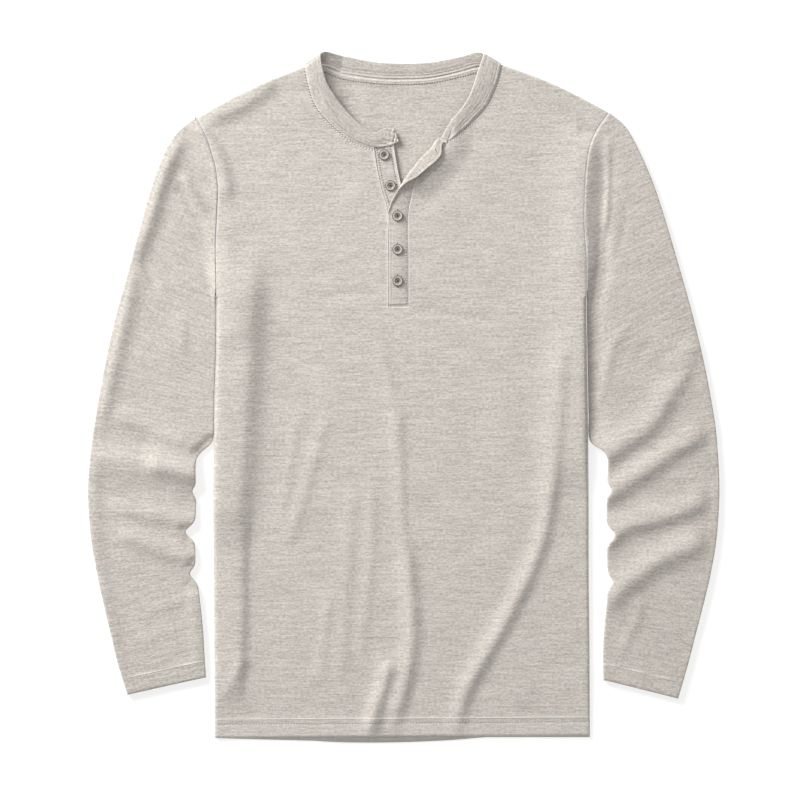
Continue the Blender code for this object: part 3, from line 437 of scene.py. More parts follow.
def apply_modifier(piece, kind, **settings):
    select_only(piece)
    modifier = piece.modifiers.new(kind.title(), kind)
    for name, value in settings.items():
        setattr(modifier, name, value)
    bpy.ops.object.modifier_apply(modifier=modifier.name)


def new_object(name, data):
    piece = bpy.data.objects.new(name, data)
    bpy.context.scene.collection.objects.link(piece)
    return piece


def cloth_piece(name, points, faces, spread, wear_and_highlight, thickness, finish):
    """A sheet of cloth: its outer face as a mesh, its flat cloth as a UV map, thickened inwards."""
    points = np.asarray(points, float).reshape(-1, 3)
    mesh = bpy.data.meshes.new(name)
    mesh.from_pydata((points * MM).tolist(), [], faces)
    layer = mesh.uv_layers.new(name="Cloth")
    corners = np.array([corner for face in faces for corner in face])
    layer.data.foreach_set("uv", (np.asarray(spread, float).reshape(-1, 2)[corners] * MM).ravel())
    # Share of pale paint at each point: wear and painted highlight.
    mesh.attributes.new("wear_and_highlight", "FLOAT", "POINT").data.foreach_set("value", np.ravel(wear_and_highlight))
    mesh.shade_smooth()
    mesh.materials.append(finish)
    piece = new_object(name, mesh)
    apply_modifier(piece, "SOLIDIFY", thickness=thickness * MM, offset=-1.0)
    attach(piece, "root")
    return piece


front_lines = []
for right_x, left_x, row_y in lower:
    line = panel_line(*(np.array((edge, row_y)) for edge in (right_x, upper[0, 2], upper[0, 4], left_x)))
    line[:, 1] += tilt * line[:, 0] * np.clip((HEM_SLOPE_FROM - row_y) / HEM_SLOPE_HEIGHT, 0.0, 1.0)
    front_lines.append(line)
upper_lines = [panel_line(*ends) for ends in zip(right_armhole, right_neckline, left_neckline, left_armhole)]
half = len(EDGE_STEPS) + HALF_COLUMNS + len(INNER_STEPS) - 1
for columns, outer, inner in ((slice(0, half), right_armhole[-1], right_neckline[-1]),
                              (slice(-half, None), left_armhole[-1], left_neckline[-1])):
    passed = np.hypot(*(upper_lines[-1][columns] - outer).T) / np.hypot(*(inner - outer))
    upper_lines[-1][columns] = bowed(passed, outer, inner)
front_lines += rows_between(front_lines[-1], upper_lines[0],
                            np.arange(1, SLOT_FOOT_ROWS + 1) / (SLOT_FOOT_ROWS + 1.0))
slot_row = len(front_lines)
upper_lines[-1:-1] = rows_between(upper_lines[-2], upper_lines[-1], SHOULDER_STEPS)
front_lines = np.array(front_lines + upper_lines)
front_rows, front_columns = front_lines.shape[:2]

x, y = front_lines[..., 0], front_lines[..., 1]
above_hem = y - hem_y - tilt * x
slot_foot = np.array([right_neckline[0], left_neckline[0]])
to_neck = distance_to(x, y, right_neckline, left_neckline, slot_foot)
to_armhole = distance_to(x, y, right_armhole, left_armhole)
height = front_height(x, y) + marks(above_hem, *HEM_RELIEF)
height -= dip(above_hem, *HEM_DIP)
height += np.interp(y, *NECK_EDGE_HEIGHTS) * marks(to_neck, NECK_EDGE) + marks(to_neck, NECK_GROOVE)
height -= dip(to_armhole, *ARMHOLE_DIP) * (y > ARMHOLE_FOOT)
# Pale paint: wear and painted highlight along the neck edge, armholes and hem.
front_wear_and_highlight = ((np.interp(y, *NECK_WEAR_AND_HIGHLIGHT_SHARES) + LEFT_NECK_HIGHLIGHT * (x > 0.0)) * marks(to_neck, NECK_WEAR_AND_HIGHLIGHT)
              + marks(to_armhole, ARMHOLE_WEAR_AND_HIGHLIGHT) + marks(above_hem, *HEM_WEAR_AND_HIGHLIGHT)
              + TURN_UP_WEAR_AND_HIGHLIGHT * (above_hem < HEM_DEPTH))
front_faces = [face for face in grid_faces(front_rows, front_columns)
               if face[0] // front_columns < slot_row
               or not half - 1 <= face[0] % front_columns < half - 1 + SLOT_COLUMNS]
used = sorted({corner for face in front_faces for corner in face})
place = {old: new for new, old in enumerate(used)}
front_faces = [tuple(place[corner] for corner in face) for face in front_faces]
front_points = np.dstack([x, y, height]).reshape(-1, 3)[used]
front = cloth_piece("front_panel", front_points, front_faces, front_points[:, :2],
                    front_wear_and_highlight.reshape(-1)[used], JERSEY, jersey_finish("front", 0.0, 0.06))
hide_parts("front")

# --------------------------------------
# Back. One plain panel of the same jersey under the front, flat where it rests on the surface. Its hem
# hangs out a little below the front's. The neck seam is pressed down on it and cover stitched.
BACK_NECKLINE = [(-106.9, 364.7), (-87.7, 364.2), (-65.7, 356), (-30.6, 351.1), (-0.6, 350), (29.2, 351.6),
                 (58.9, 357.6), (81.6, 363.6), (106.2, 366.4)]
BACK_NECKLINE_FINE = 7
BACK_TURN_UP = 0.6, 3.0     # height and width
BACK_EDGE_STEPS = (0.0, 0.5, 1.2, 2.1, 3.0)
BACK_CROWN_START = 150.0    # above this its rows take on the curve of its upper edge
BACK_HEM_DROP, BACK_HEM_DROP_SHARE, BACK_HEM_LEAST = 6.0, 0.8, 0.9
# Paler strip along the back's hem edge: wear and painted light that lifts the shade the front's hem casts on
# it.
BACK_HEM_WEAR_AND_PAINTED_LIGHT = Mark(0.0, 3.0, 0.55)
UNDER_BAND, UNDER_BAND_ENDS = 1.6, (80.0, 100.0)     # how far its neck edge reaches under the band
FACING_WIDTH, FACING_HEIGHT, FACING_EDGE = 5.6, 0.3, 0.4     # the seam allowance pressed down there
FACING_MARKS = Mark(0.7, 0.5, -0.5), Mark(2.4, 0.8, 0.3)
# Pale line along the facing's raised middle: wear and painted highlight.
FACING_WEAR_AND_HIGHLIGHT = Mark(2.4, 0.7, 0.5)
FACING_REACH, FACING_WEAR_AND_HIGHLIGHT_REACH = 104.0, 92.0
BACK_CREASES = [
    (5.4, 13, 9, -95, 384, -93.8, 372, -92, 358, -87, 344, -79, 330, -67, 316),
    (0.5, 11, 14, -120, 240, -134, 120, -130, -10, -148, -150),
    (0.45, 13, 10, 128, 210, 141, 60, 120, -90, 84, -220),
    (0.4, 9, 9, -30, -60, -16, -170, -28, -300),
    (0.4, 10, 8, 40, -120, 52, -230, 36, -340),
    (0.35, 9, 9, -40, 310, -20, 250, 30, 215),
    (0.4, 8, 12, -185, -60, -150, -110, -90, -140),
]

back_neckline = smooth_line(BACK_NECKLINE, BACK_NECKLINE_FINE)
back_top = np.vstack([right_shoulder[:-1], back_neckline, left_shoulder[-2::-1]])
share = (back_top[:, 0] - back_top[0, 0]) / (back_top[-1, 0] - back_top[0, 0])
back_top[:, 1] += UNDER_BAND * np.interp(np.abs(back_top[:, 0]), UNDER_BAND_ENDS, [1.0, 0.0])
crown = back_top[:, 1] - np.interp(share, [0.0, 1.0], [back_top[0, 1], back_top[-1, 1]])


def back_columns(length):
    """Shares along a row of the back, closer together at each end where its edge turns up."""
    edge = np.array(BACK_EDGE_STEPS) / length
    return np.concatenate([edge, share[1:-1], 1.0 - edge[::-1]])


back_lines = []
ends = [((right_x, row_y), (left_x, row_y)) for right_x, left_x, row_y in lower[::4]]
ends += list(zip(right_armhole[0:-1:4], left_armhole[0:-1:4]))
for first, last in ends:
    first, last = np.array(first), np.array(last)
    rise = max(0.0, (first[1] - BACK_CROWN_START) / (back_top[0, 1] - BACK_CROWN_START)) ** 1.5
    across = back_columns(last[0] - first[0])
    line = first + np.outer(across, last - first)
    line[:, 1] += np.interp(across, share, crown) * rise
    back_lines.append(line)
across = back_columns(back_top[-1, 0] - back_top[0, 0])
back_lines.append(np.column_stack([np.interp(across, share, back_top[:, k]) for k in (0, 1)]))
along = np.clip(np.linspace(0.0, 1.0, len(across)) / BACK_HEM_DROP_SHARE, 0.0, 1.0)
back_lines[0][:, 1] -= BACK_HEM_LEAST + BACK_HEM_DROP * np.sin(pi * along)
back_lines[-1:-1] = rows_between(back_lines[-2], back_lines[-1], np.linspace(0.0, 1.0, 60)[1:-1])
back_lines = np.array(back_lines)
x, y = back_lines[..., 0], back_lines[..., 1]
to_side = distance_to(x, y, right_side, left_side)
to_band = distance_to(x, y, back_neckline)
height = dip(to_side, *BACK_TURN_UP) + crease_height(x, y, BACK_CREASES)
facing = FACING_HEIGHT / (1.0 + np.exp(np.clip((to_band - FACING_WIDTH) / FACING_EDGE, -40.0, 40.0)))
height += (facing + marks(to_band, *FACING_MARKS)) * (np.abs(x) < FACING_REACH)
back_points = np.dstack([x, y, height]).reshape(-1, 3)
# Pale paint: wear and painted light at the hem edge and along the facing.
back_wear_and_highlight = (marks(y - back_lines[0, :, 1], BACK_HEM_WEAR_AND_PAINTED_LIGHT)
             + marks(to_band, FACING_WEAR_AND_HIGHLIGHT) * (np.abs(x) < FACING_WEAR_AND_HIGHLIGHT_REACH))
back = cloth_piece("back_panel", back_points, grid_faces(*back_lines.shape[:2], flip=True),
                   back_points[:, :2], back_wear_and_highlight, JERSEY, jersey_finish("back", 40.0))
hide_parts("back")

# --------------------------------------
# Sleeves. Each is one piece of jersey sewn to a tube and set into the armhole. Laid down, it is flat
# underneath, rolled along both edges and rucked up at the elbow, and its cuff is turned up once.
SLEEVE_REST, SLEEVE_LOWEST, SLEEVE_ROLL = 5.6, 2.7, 2.3
SEWN_LOWEST = SLEEVE_LOWEST + 1.2
SLEEVE_COLUMNS, SLEEVE_UNDER_COLUMNS = 44, 30
SLEEVE_FINE = 7
ROLL_ANGLES = np.arange(1, 8) * pi / 8.0
FAN_EASE = (0.0, 1.6, 1.3, 0.8, 0.3, 0.0)     # how far each of the first rows opens beside the armhole
BOWED_ROWS, SEWN_ROWS, TURNING_ROWS = 5.0, 3.0, 2.0
SEAM_EASE = 0.2
SQUARENESS = 0.5            # of the roll along a sleeve's edges: 1 is round
UNDER_LIFT = 0.35           # of the under layer off the surface, here and there
SLEEVE_SEAM_DIP = 0.7, 1.0
CUFF_DEPTH, CUFF_DIP = 18.5, (0.35, 1.3)
CUFF_RELIEF = Mark(CUFF_DEPTH, 0.9, 0.3), Mark(CUFF_DEPTH - 5.0, 1.6, -0.25)
# Pale lines at the cuff stitching and fold and along the armhole seam: wear and painted highlight.
CUFF_WEAR_AND_HIGHLIGHT = Mark(CUFF_DEPTH, 0.8, 0.8), Mark(0.0, 1.0, 0.4)
SLEEVE_SEAM_WEAR_AND_HIGHLIGHT = Mark(0.0, 0.7, 0.3)
# Sections from the armhole down: x and y at the outer edge, at the inner edge, steps to the next one.
RIGHT_SLEEVE = [
    (-228.6, 308.1, -206.1, 118.6, 2), (-254.7, 284.1, -206.1, 102.3, 2), (-275, 237.6, -206.2, 83.6, 2),
    (-289.3, 188.1, -206.4, 63.8, 2), (-304.2, 133.7, -206.8, 40.7, 2), (-319.6, 77, -207.9, 9.9, 1),
    (-330.8, 23.1, -208.7, -19.8, 2), (-339.4, -25.3, -210.2, -48.4, 1), (-343.4, -53.9, -227.4, -68.2, 3),
    (-347.2, -103.4, -227.8, -106.2, 4), (-343.8, -155.1, -229, -148.5, 3),
    (-337.4, -192.5, -228.3, -194.7, 2), (-332.5, -216.7, -225, -214.5, 2),
    (-322.9, -257.4, -220.9, -251.9, 1), (-315.2, -290.4, -219.2, -278.3, 2),
    (-303.8, -327.8, -217.3, -308.7, 0),
]
LEFT_SLEEVE = [
    (226.6, 313.2, 201.8, 118.6, 2), (247, 293.7, 201.8, 102.3, 2), (269.5, 248.6, 202, 83.6, 2),
    (284.9, 205.7, 202.2, 63.8, 2), (301.3, 150.7, 202.6, 40.7, 2), (317.4, 93.5, 203.2, 9.9, 1),
    (331.1, 36.3, 203.8, -19.8, 2), (340.8, -15.4, 205.4, -48.4, 1), (344.9, -47.3, 223.6, -64.9, 3),
    (347.7, -101.2, 223.6, -102.3, 4), (344.6, -155.1, 223.3, -151.8, 3), (338, -194.7, 224.7, -201.3, 2),
    (332.2, -220, 223.7, -223.3, 2), (321.8, -260.7, 220.9, -256.3, 1), (313.3, -293.7, 219.5, -283.8, 2),
    (302.3, -331.9, 220, -311.9, 0),
]
# Where the inner edge is drawn in at the elbow: y, depth, half width.
RIGHT_NOTCHES = [(-104, 4.3, 6), (-148.5, 10.8, 8), (-194.7, 6.6, 7)]
LEFT_NOTCHES = [(-102.3, 5.2, 6), (-151.8, 9.3, 8.5), (-203.5, 5.7, 7)]
# The line down the middle that the courses of the knit lie square to.
RIGHT_GRAIN = [(-150, 320), (-215, 165), (-264, 43), (-280, -45), (-288, -110), (-286, -160), (-279, -216),
               (-268, -284), (-255, -340)]
LEFT_GRAIN = [(150, 326), (212, 172), (262, 50), (278, -40), (285, -105), (284, -160), (279, -218),
              (268, -285), (255, -345)]
RIGHT_SLEEVE_CREASES = [
    (2.6, 11, 8.5, -325.1, -16.5, -303.1, -24.2, -278.9, -34.7, -256.9, -44, -223.9, -55),
    (3.9, 11.5, 20, -355.9, -63.5, -320.7, -68, -289.9, -72.5, -262, -78, -240, -84, -212, -93),
    (2.9, 13, 8.5, -342.7, -124.5, -300.9, -125.2, -278.9, -130.6, -256.9, -133.9, -239.3, -141.7, -219.5,
     -152.9),
    (3.5, 13, 9.5, -329.5, -146.3, -292.1, -158.4, -267.9, -167.8, -245.9, -174.9, -217.3, -185.9),
    (4.4, 10.5, 32, -200, -96, -228, -87, -246, -82, -262, -78, -292, -72.5),
    (-3.4, 5, 5.5, -233, -67, -225, -59, -216, -50.5, -205, -40),
    (-2, 4, 4, -245.1, -146.3, -240.4, -144.1, -230.5, -140.8),
    (-1.4, 4, 4, -241.5, -150.7, -237.1, -162.8, -228.3, -170.5),
    (-1.6, 4, 4, -236, -190.3, -231.6, -180.4, -222.8, -173.8),
    (-1.2, 5, 5, -241.5, -203.5, -232.7, -209, -223.9, -214.5),
    (5, 9, 8, -234.9, 293.7, -245.9, 279.4, -259.1, 256.3, -269, 227.7, -277.8, 199.1, -287.7, 169.4,
     -296.5, 141.9),
    (3.6, 10, 7, -289, 166, -299, 125.4, -307.1, 86.9, -315, 51.7, -322.8, 18.7, -329.9, -14.3, -335.9,
     -47.3),
    (2.1, 9, 7, -335.9, -30.8, -340.7, -80.3, -340.7, -124.3, -337.5, -168.3, -329.7, -214.5, -318.7,
     -267.3, -306.7, -322.3),
    (4, 4.5, 5, -244.8, 249.7, -237.1, 234.3, -226.1, 217.8, -215.1, 201.3, -206.3, 179.3, -200.8, 157.3),
    (2, 4, 4, -226.1, 263, -215.1, 247.5, -207.4, 232.1, -200.8, 209),
    (-2.4, 5, 5, -252.5, 235.4, -242.6, 224.4, -231.6, 207.9, -220.6, 189.2, -211.8, 167.2),
    (1.2, 5, 13, -243, 95, -242, 68.2, -243, 38),
    (-1.6, 3.5, 3.5, -288.8, 155.1, -280, 137.5, -270.1, 117.7),
    (1.6, 5.5, 9, -231.6, -203.5, -229.8, -225.5, -227, -252, -225, -279, -223, -305),
    (0.8, 5, 6, -289.9, -236.5, -262.4, -229.9, -239.3, -223.3),
    (0.7, 5, 6, -295.4, -269.5, -267.9, -260.7, -237.1, -253),
]
LEFT_SLEEVE_CREASES = [
    (2, 7.5, 11, 326.2, 57.2, 315.2, 40.7, 306.4, 20.9, 295.4, 1.1),
    (5, 11, 16, 307.1, 29.5, 291.7, 0.9, 278.5, -21.1, 263.1, -38.7, 241.1, -53, 221.3, -67.3, 208.1,
     -82.7),
    (5, 11, 14, 335, -36, 323.2, -43, 300.9, -57, 278.9, -71.5, 256.9, -87.5, 239.8, -98.6, 222.8, -111.5,
     209.6, -124.5),
    (4.7, 10, 14, 340, -113, 325.4, -117, 302, -127, 280, -133.8, 258, -138.7, 238.2, -147.1, 222.8, -161.3,
     211.8, -179.3),
    (5.2, 12.5, 14, 336, -155.5, 323.2, -161.3, 302, -170, 279.4, -181, 261.4, -193.8, 244.4, -205.9, 229,
     -223.5, 217.4, -245.5),
    (1.1, 6, 7, 260.2, -214.5, 256.9, -243.1, 247, -265.1, 233.8, -289.3),
    (1.1, 5, 6, 253.6, 84.7, 231.6, 57.2, 223.9, 29.7, 217.3, 2.2, 209.6, -25.3),
    (1.3, 5, 6, 328.4, 62.7, 313, 51.7, 298.7, 39.6, 286.6, 25.3),
    (-0.9, 6, 6, 273.4, 64.9, 264.6, 51.7, 253.6, 42.9),
    (-4.2, 8, 9, 223.8, 271.7, 221.5, 238.7, 219.3, 189.2, 218.3, 148.5, 218.4, 101.2),
    (-2.8, 10, 11, 210.7, 148.5, 210.7, 84.7, 210.7, 18.7, 210.7, -58.3),
    LEFT_ARMHOLE_FOLD,
    (3.8, 3.8, 4.4, 220.5, 291.5, 223.8, 271.7, 224.8, 238.7, 223.2, 203.5, 219.9, 172.7),
    (-0.7, 5, 5.5, 244.8, 221.1, 244.8, 200.2, 239.3, 169.4, 225, 135.3),
]


def unit(vectors):
    return vectors / np.hypot(*vectors.T)[:, None]


def travelled_along(line):
    """How far along a line in the plan each of its points is."""
    return np.concatenate([[0.0], np.cumsum(np.hypot(*np.diff(line, axis=0).T))])


def points_at(stops, travelled, line):
    return np.column_stack([np.interp(stops, travelled, line[:, k]) for k in (0, 1)])


def bow_of(armhole, shares):
    """How far the armhole bows off its own chord, at each share of its length."""
    travelled = travelled_along(armhole)
    seam = points_at(shares, travelled / travelled[-1], armhole)
    return seam - armhole[0] - np.outer(shares, armhole[-1] - armhole[0])


def inward_directions(rows):
    """Plan directions in from both edges: along the row at the armhole, then square to the edge."""
    across = unit(rows[:, 2:4] - rows[:, 0:2])
    turned = np.clip(np.arange(len(rows)) / (TURNING_ROWS * SLEEVE_FINE), 0.0, 1.0)[:, None]
    directions = []
    for edge, along_row in ((rows[:, 0:2], across), (rows[:, 2:4], -across)):
        tangent = np.gradient(edge, axis=0)
        square = np.column_stack([-tangent[:, 1], tangent[:, 0]])
        square *= np.sign((square * along_row).sum(axis=1))[:, None]
        directions.append(unit((1.0 - turned) * along_row + turned * unit(square)))
    return directions


def along_grain(x, y, grain):
    """Flat cloth coordinates of a sleeve: out from the line of its grain, and along it."""
    line = smooth_line(grain, 40)
    tangent = unit(np.gradient(line, axis=0))
    nearest = np.argmin((x[..., None] - line[:, 0]) ** 2 + (y[..., None] - line[:, 1]) ** 2, axis=-1)
    gap_x, gap_y = x - line[nearest, 0], y - line[nearest, 1]
    run_x, run_y = tangent[nearest, 0], tangent[nearest, 1]
    along = travelled_along(line)[nearest] + gap_x * run_x + gap_y * run_y
    return np.dstack([gap_x * run_y - gap_y * run_x, along])


def make_sleeve(name, sections, notches, creases, grain, armhole, outward, seed, finish):
    rows = smooth_line([section[:4] for section in sections], [row[4] * SLEEVE_FINE for row in sections])
    for notch_y, depth, width in notches:
        rows[:, 2] += outward * depth * np.exp(-((rows[:, 3] - notch_y) / width) ** 2)
    from_outer, from_inner = inward_directions(rows)
    top_shares = np.linspace(0.0, 1.0, SLEEVE_COLUMNS)
    under_shares = np.linspace(1.0, 0.0, SLEEVE_UNDER_COLUMNS)
    rolls = SLEEVE_ROLL * (1.0 - np.sin(ROLL_ANGLES) ** SQUARENESS)[:, None]
    plan = []
    for number, row in enumerate(rows):
        step = number / SLEEVE_FINE
        outer, inner = row[0:2], row[2:4]
        start = outer + SLEEVE_ROLL * from_outer[number]
        stop = inner + SLEEVE_ROLL * from_inner[number]
        strength = max(0.0, 1.0 - step / BOWED_ROWS) ** 2
        fan = np.interp(step, range(len(FAN_EASE)), FAN_EASE)
        line = []
        for shares in (top_shares, under_shares):
            bow = bow_of(armhole, shares) * strength
            arch = np.sin(pi * shares)
            bow[:, 0] += outward * (SEAM_EASE * arch + fan * np.sqrt(np.abs(arch)))
            line.append(start + np.outer(shares, stop - start) + bow)
        plan.append(np.vstack([line[0], inner + rolls * from_inner[number], line[1],
                               outer + rolls * from_outer[number]]))
    plan = np.array(plan)
    x, y = plan[..., 0], plan[..., 1]
    seam_share = eased(np.clip(np.arange(len(rows)) / (SEWN_ROWS * SLEEVE_FINE), 0.0, 1.0)[:, None])
    free = soft_floor(SLEEVE_REST + crease_height(x, y, creases) + RIPPLE * ripples(x, y, seed),
                      SLEEVE_LOWEST)
    top = seam_share * free + (1.0 - seam_share) * np.maximum(front_height(x, y), SEWN_LOWEST)
    to_cuff = np.hypot(*(plan - plan[-1:]).reshape(-1, 2).T).reshape(x.shape)
    to_seam = distance_to(x, y, armhole)
    top += marks(to_cuff, *CUFF_RELIEF) - dip(to_cuff, *CUFF_DIP) - dip(to_seam, *SLEEVE_SEAM_DIP)
    height = np.zeros_like(top)
    height[:, :SLEEVE_COLUMNS] = top[:, :SLEEVE_COLUMNS]
    outer_roll = SLEEVE_COLUMNS + len(ROLL_ANGLES) + SLEEVE_UNDER_COLUMNS
    for k, angle in enumerate(ROLL_ANGLES):
        level = 0.5 + 0.5 * np.sign(cos(angle)) * abs(cos(angle)) ** SQUARENESS
        height[:, SLEEVE_COLUMNS + k] = top[:, SLEEVE_COLUMNS - 1] * level
        height[:, outer_roll + k] = top[:, 0] * (1.0 - level)
    under = slice(SLEEVE_COLUMNS + len(ROLL_ANGLES), outer_roll)
    height[:, under] += (np.sin(pi * under_shares) ** 2 * UNDER_LIFT
                         * np.clip(ripples(x[:, under], y[:, under], seed + 1), 0, 1))
    # Pale paint along the armhole seam and cuff: wear and painted highlight.
    wear_and_highlight = marks(to_seam, SLEEVE_SEAM_WEAR_AND_HIGHLIGHT) + marks(to_cuff, *CUFF_WEAR_AND_HIGHLIGHT)
    faces = grid_faces(len(rows), plan.shape[1], closed=True, flip=outward < 0.0)
    return cloth_piece(name, np.dstack([x, y, height]), faces, along_grain(x, y, grain), wear_and_highlight, JERSEY, finish)


right_sleeve = make_sleeve("right_sleeve", RIGHT_SLEEVE, RIGHT_NOTCHES, RIGHT_SLEEVE_CREASES, RIGHT_GRAIN,
                           right_armhole[::-1], -1.0, 11, jersey_finish("right_sleeve", 80.0))
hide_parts("sleeve_right")
left_sleeve = make_sleeve("left_sleeve", LEFT_SLEEVE, LEFT_NOTCHES, LEFT_SLEEVE_CREASES, LEFT_GRAIN,
                          left_armhole[::-1], 1.0, 17, jersey_finish("left_sleeve", 120.0))
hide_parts("sleeve_left")

# --------------------------------------
# Neckband. A strip of jersey folded double and sewn on round the neckline, its fold at the top. It folds
# over at both shoulder points, where the front lies on the back, and its end by the buttonholes turns
# outward with the placket.
BAND_WALL, BAND_FINE = 1.5, 5
BAND_OVER = 0.15            # its seam lies this far over the front
BAND_TUCK, BAND_TUCK_DEPTH, BAND_TUCK_WIDTH = 0.5, 0.8, 1.3     # how its edge dips under the front's
LEFT_TUCK_SHARE = 0.4
BAND_CROWN, BAND_CROWN_SHAPE = 0.5, 0.6
BAND_GROOVES = Mark(2.7, 0.7, -0.4), Mark(5.4, 0.7, -0.4)      # lines of stitching along it
# Pale lines at the band's fold and along its seam, and paler over the tab: wear and painted highlight.
BAND_RIM_WEAR_AND_HIGHLIGHT, BAND_SEAM_WEAR_AND_HIGHLIGHT = Mark(0.0, 0.9, 1.0), Mark(1.0, 0.9, 0.6)
BAND_SHARES = (0, 0.02, 0.045, 0.08, 0.12, 0.16, 0.2, 0.25, 0.3, 0.35, 0.4, 0.48, 0.58, 0.7, 0.82, 0.91,
               0.96, 1)
TAB_CRUMPLE, TAB_LENGTH, TAB_WEAR_AND_HIGHLIGHT = 1.2, 20.0, 0.1
# x, y, z of its seam, x, y, z of its fold, how far it is sewn to the front, whose height it then takes
# at its seam, how pale its fold is painted (wear and painted highlight, strongest on the wearer's left),
# and steps to the next row.
NECKBAND_ROWS = [
    (-5.2, 281.8, 4, -8.6, 290.6, 4.2, 0, 0, 1), (-11.4, 278.4, 4.1, -10.9, 294.4, 4.5, 0, 0.1, 1),
    (-20.4, 276, 4.3, -20.4, 295.6, 5.3, 0, 0.1, 1), (-32, 276, 4.6, -32.1, 291, 6.2, 1, 0.2, 2),
    (-48, 281, 5.4, -48.2, 299.8, 6.4, 1, 0.15, 2), (-65.4, 291.4, 6.2, -62.2, 313.8, 7.4, 1, 0.15, 2),
    (-83, 307.2, 7.4, -74.5, 329.6, 9, 1, 0.15, 2), (-95.2, 322.9, 8.8, -83.3, 343.6, 11, 1, 0.15, 2),
    (-103.2, 345.5, 9.6, -88.6, 359.4, 12.6, 1, 0.15, 2), (-106.6, 363.2, 9, -90.8, 374, 12.8, 0.6, 0.1, 2),
    (-107.6, 365.4, 5.6, -88.6, 377.4, 12.2, 0, 0, 2), (-103.5, 366.4, 5, -84, 379, 10.4, 0, 0, 2),
    (-86.5, 364.9, 6.2, -74, 377, 5.6, 0, 0, 2), (-70.5, 358.2, 1.8, -66.8, 375.5, 3, 0, 0, 1),
    (-65.3, 356.4, 1.5, -61, 374.4, 3, 0, 0, 3), (-30.5, 351.5, 1.5, -33, 368.9, 3.2, 0, 0, 2),
    (-0.6, 350.5, 1.5, -0.6, 367, 3.2, 0, 0, 2), (29.1, 352, 1.5, 31, 368.4, 3.2, 0, 0, 3),
    (58.5, 358, 1.5, 60, 373.8, 3, 0, 0, 2), (81.2, 364.3, 1.6, 72, 377.2, 2.8, 0, 0, 2),
    (100.5, 366, 2, 80.8, 379.4, 3, 0, 0.2, 2), (105.5, 366, 5, 86.5, 377.6, 6.4, 0, 0.8, 2),
    (105.7, 364.4, 8, 87.2, 374.4, 9.2, 0.6, 0.8, 2), (100.7, 345.6, 8.6, 81.6, 357.8, 9.2, 1, 0.8, 2),
    (90.2, 322.8, 7.8, 72.8, 332, 8.8, 1, 0.8, 2), (74.4, 305.2, 7, 62.8, 316, 8, 1, 0.8, 2),
    (57.4, 289, 6.4, 57.4, 309.8, 7, 1, 0.8, 1), (47.9, 281.6, 6.2, 54.6, 306.9, 6.8, 0.5, 0.6, 1),
    (39.6, 282.2, 7.6, 52.8, 305.6, 7.8, 0, 0.5, 1), (41.1, 281.3, 9.2, 54.2, 305.5, 9, 0, 0.5, 1),
    (47.6, 278.5, 9.4, 56.6, 304.2, 9.2, 0, 0.5, 0),
]


def soften(piece):
    """Rounds a thick strip's folded edges."""
    apply_modifier(piece, "SUBSURF", levels=1, render_levels=1)


band_rows = smooth_line([row[:8] for row in NECKBAND_ROWS], [row[8] * BAND_FINE for row in NECKBAND_ROWS])
sewn = np.clip(band_rows[:, 6], 0.0, 1.0)
outward = unit(band_rows[:, 0:2] - band_rows[:, 3:5])
level = front_height(band_rows[:, 0], band_rows[:, 1]) + BAND_OVER
band_rows[:, 0:2] += BAND_TUCK * sewn[:, None] * outward
band_rows[:, 2] += sewn * (level - band_rows[:, 2])
band_middle = 0.5 * (band_rows[:, 0:3] + band_rows[:, 3:6])
band_along = np.concatenate([[0.0], np.cumsum(np.linalg.norm(np.diff(band_middle, axis=0), axis=1))])
band_points, band_spread, band_wear_and_highlight = [], [], []
for row, along, tucked in zip(band_rows, band_along, sewn):
    seam, top = row[0:3], row[3:6]
    width = np.linalg.norm(top - seam)
    depth = BAND_TUCK_DEPTH * (LEFT_TUCK_SHARE if seam[0] > 0.0 else 1.0) * tucked
    near_tab = np.exp(-(along / TAB_LENGTH) ** 2)
    for share in BAND_SHARES:
        place = share * width
        spot = seam + (top - seam) * share
        crumple = (sin(0.9 * spot[0] + 0.5 * spot[1]) * sin(0.7 * spot[1] - 0.6 * spot[0])
                   + 0.5 * sin(1.9 * spot[0] - 0.8 * spot[1]))
        crown = (BAND_CROWN * sin(pi * share) ** BAND_CROWN_SHAPE + marks(place, *BAND_GROOVES)
                 - dip(place, depth, BAND_TUCK_WIDTH) + TAB_CRUMPLE * crumple * near_tab)
        band_points.append(spot + (0.0, 0.0, crown))
        band_spread.append((along, place))
        # Pale paint: wear and painted highlight on the fold, the loose seam and the tab.
        band_wear_and_highlight.append(row[7] * marks(width - place, BAND_RIM_WEAR_AND_HIGHLIGHT) + TAB_WEAR_AND_HIGHLIGHT * near_tab
                         + (1.0 - tucked) * marks(place, BAND_SEAM_WEAR_AND_HIGHLIGHT))
band_faces = grid_faces(len(band_rows), len(BAND_SHARES), flip=True)
neckband = cloth_piece("neckband_strip", band_points, band_faces, band_spread, band_wear_and_highlight, BAND_WALL,
                       jersey_finish("neckband", 160.0, -0.05))
soften(neckband)
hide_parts("neckband")

# --------------------------------------
# Button placket. A doubled strip of jersey sewn to the wearer's right edge of the slot. It carries the
# buttons and lies level with the front, under the buttonhole placket.
UNDER_PLACKET_SEWN = [(-17, 101), (-17, 157), (-17.7, 202.7), (-24.2, 228.8), (-29, 251.2), (-32.6, 273),
                      (-32.8, 278)]
UNDER_PLACKET_FREE = [(1.6, 101), (1.6, 157), (1.4, 195), (-2, 228.6), (-6.4, 251.1), (-10.4, 275.6),
                      (-10.6, 281)]
UNDER_PLACKET_FINE, UNDER_PLACKET_TOP_STEP = 12, 0.42     # rows to a point, and mm between the top ones
UNDER_PLACKET_WALL, UNDER_PLACKET_DROP = 1.1, 0.1
SEWN_DIP, TOP_DIP = (1.0, 0.8), (1.4, 3.0)     # at the front's edge and under the neckband
FREE_GROOVE, SEWN_GROOVE = Mark(4.2, 0.8, -0.25), Mark(3.2, 0.8, -0.25)
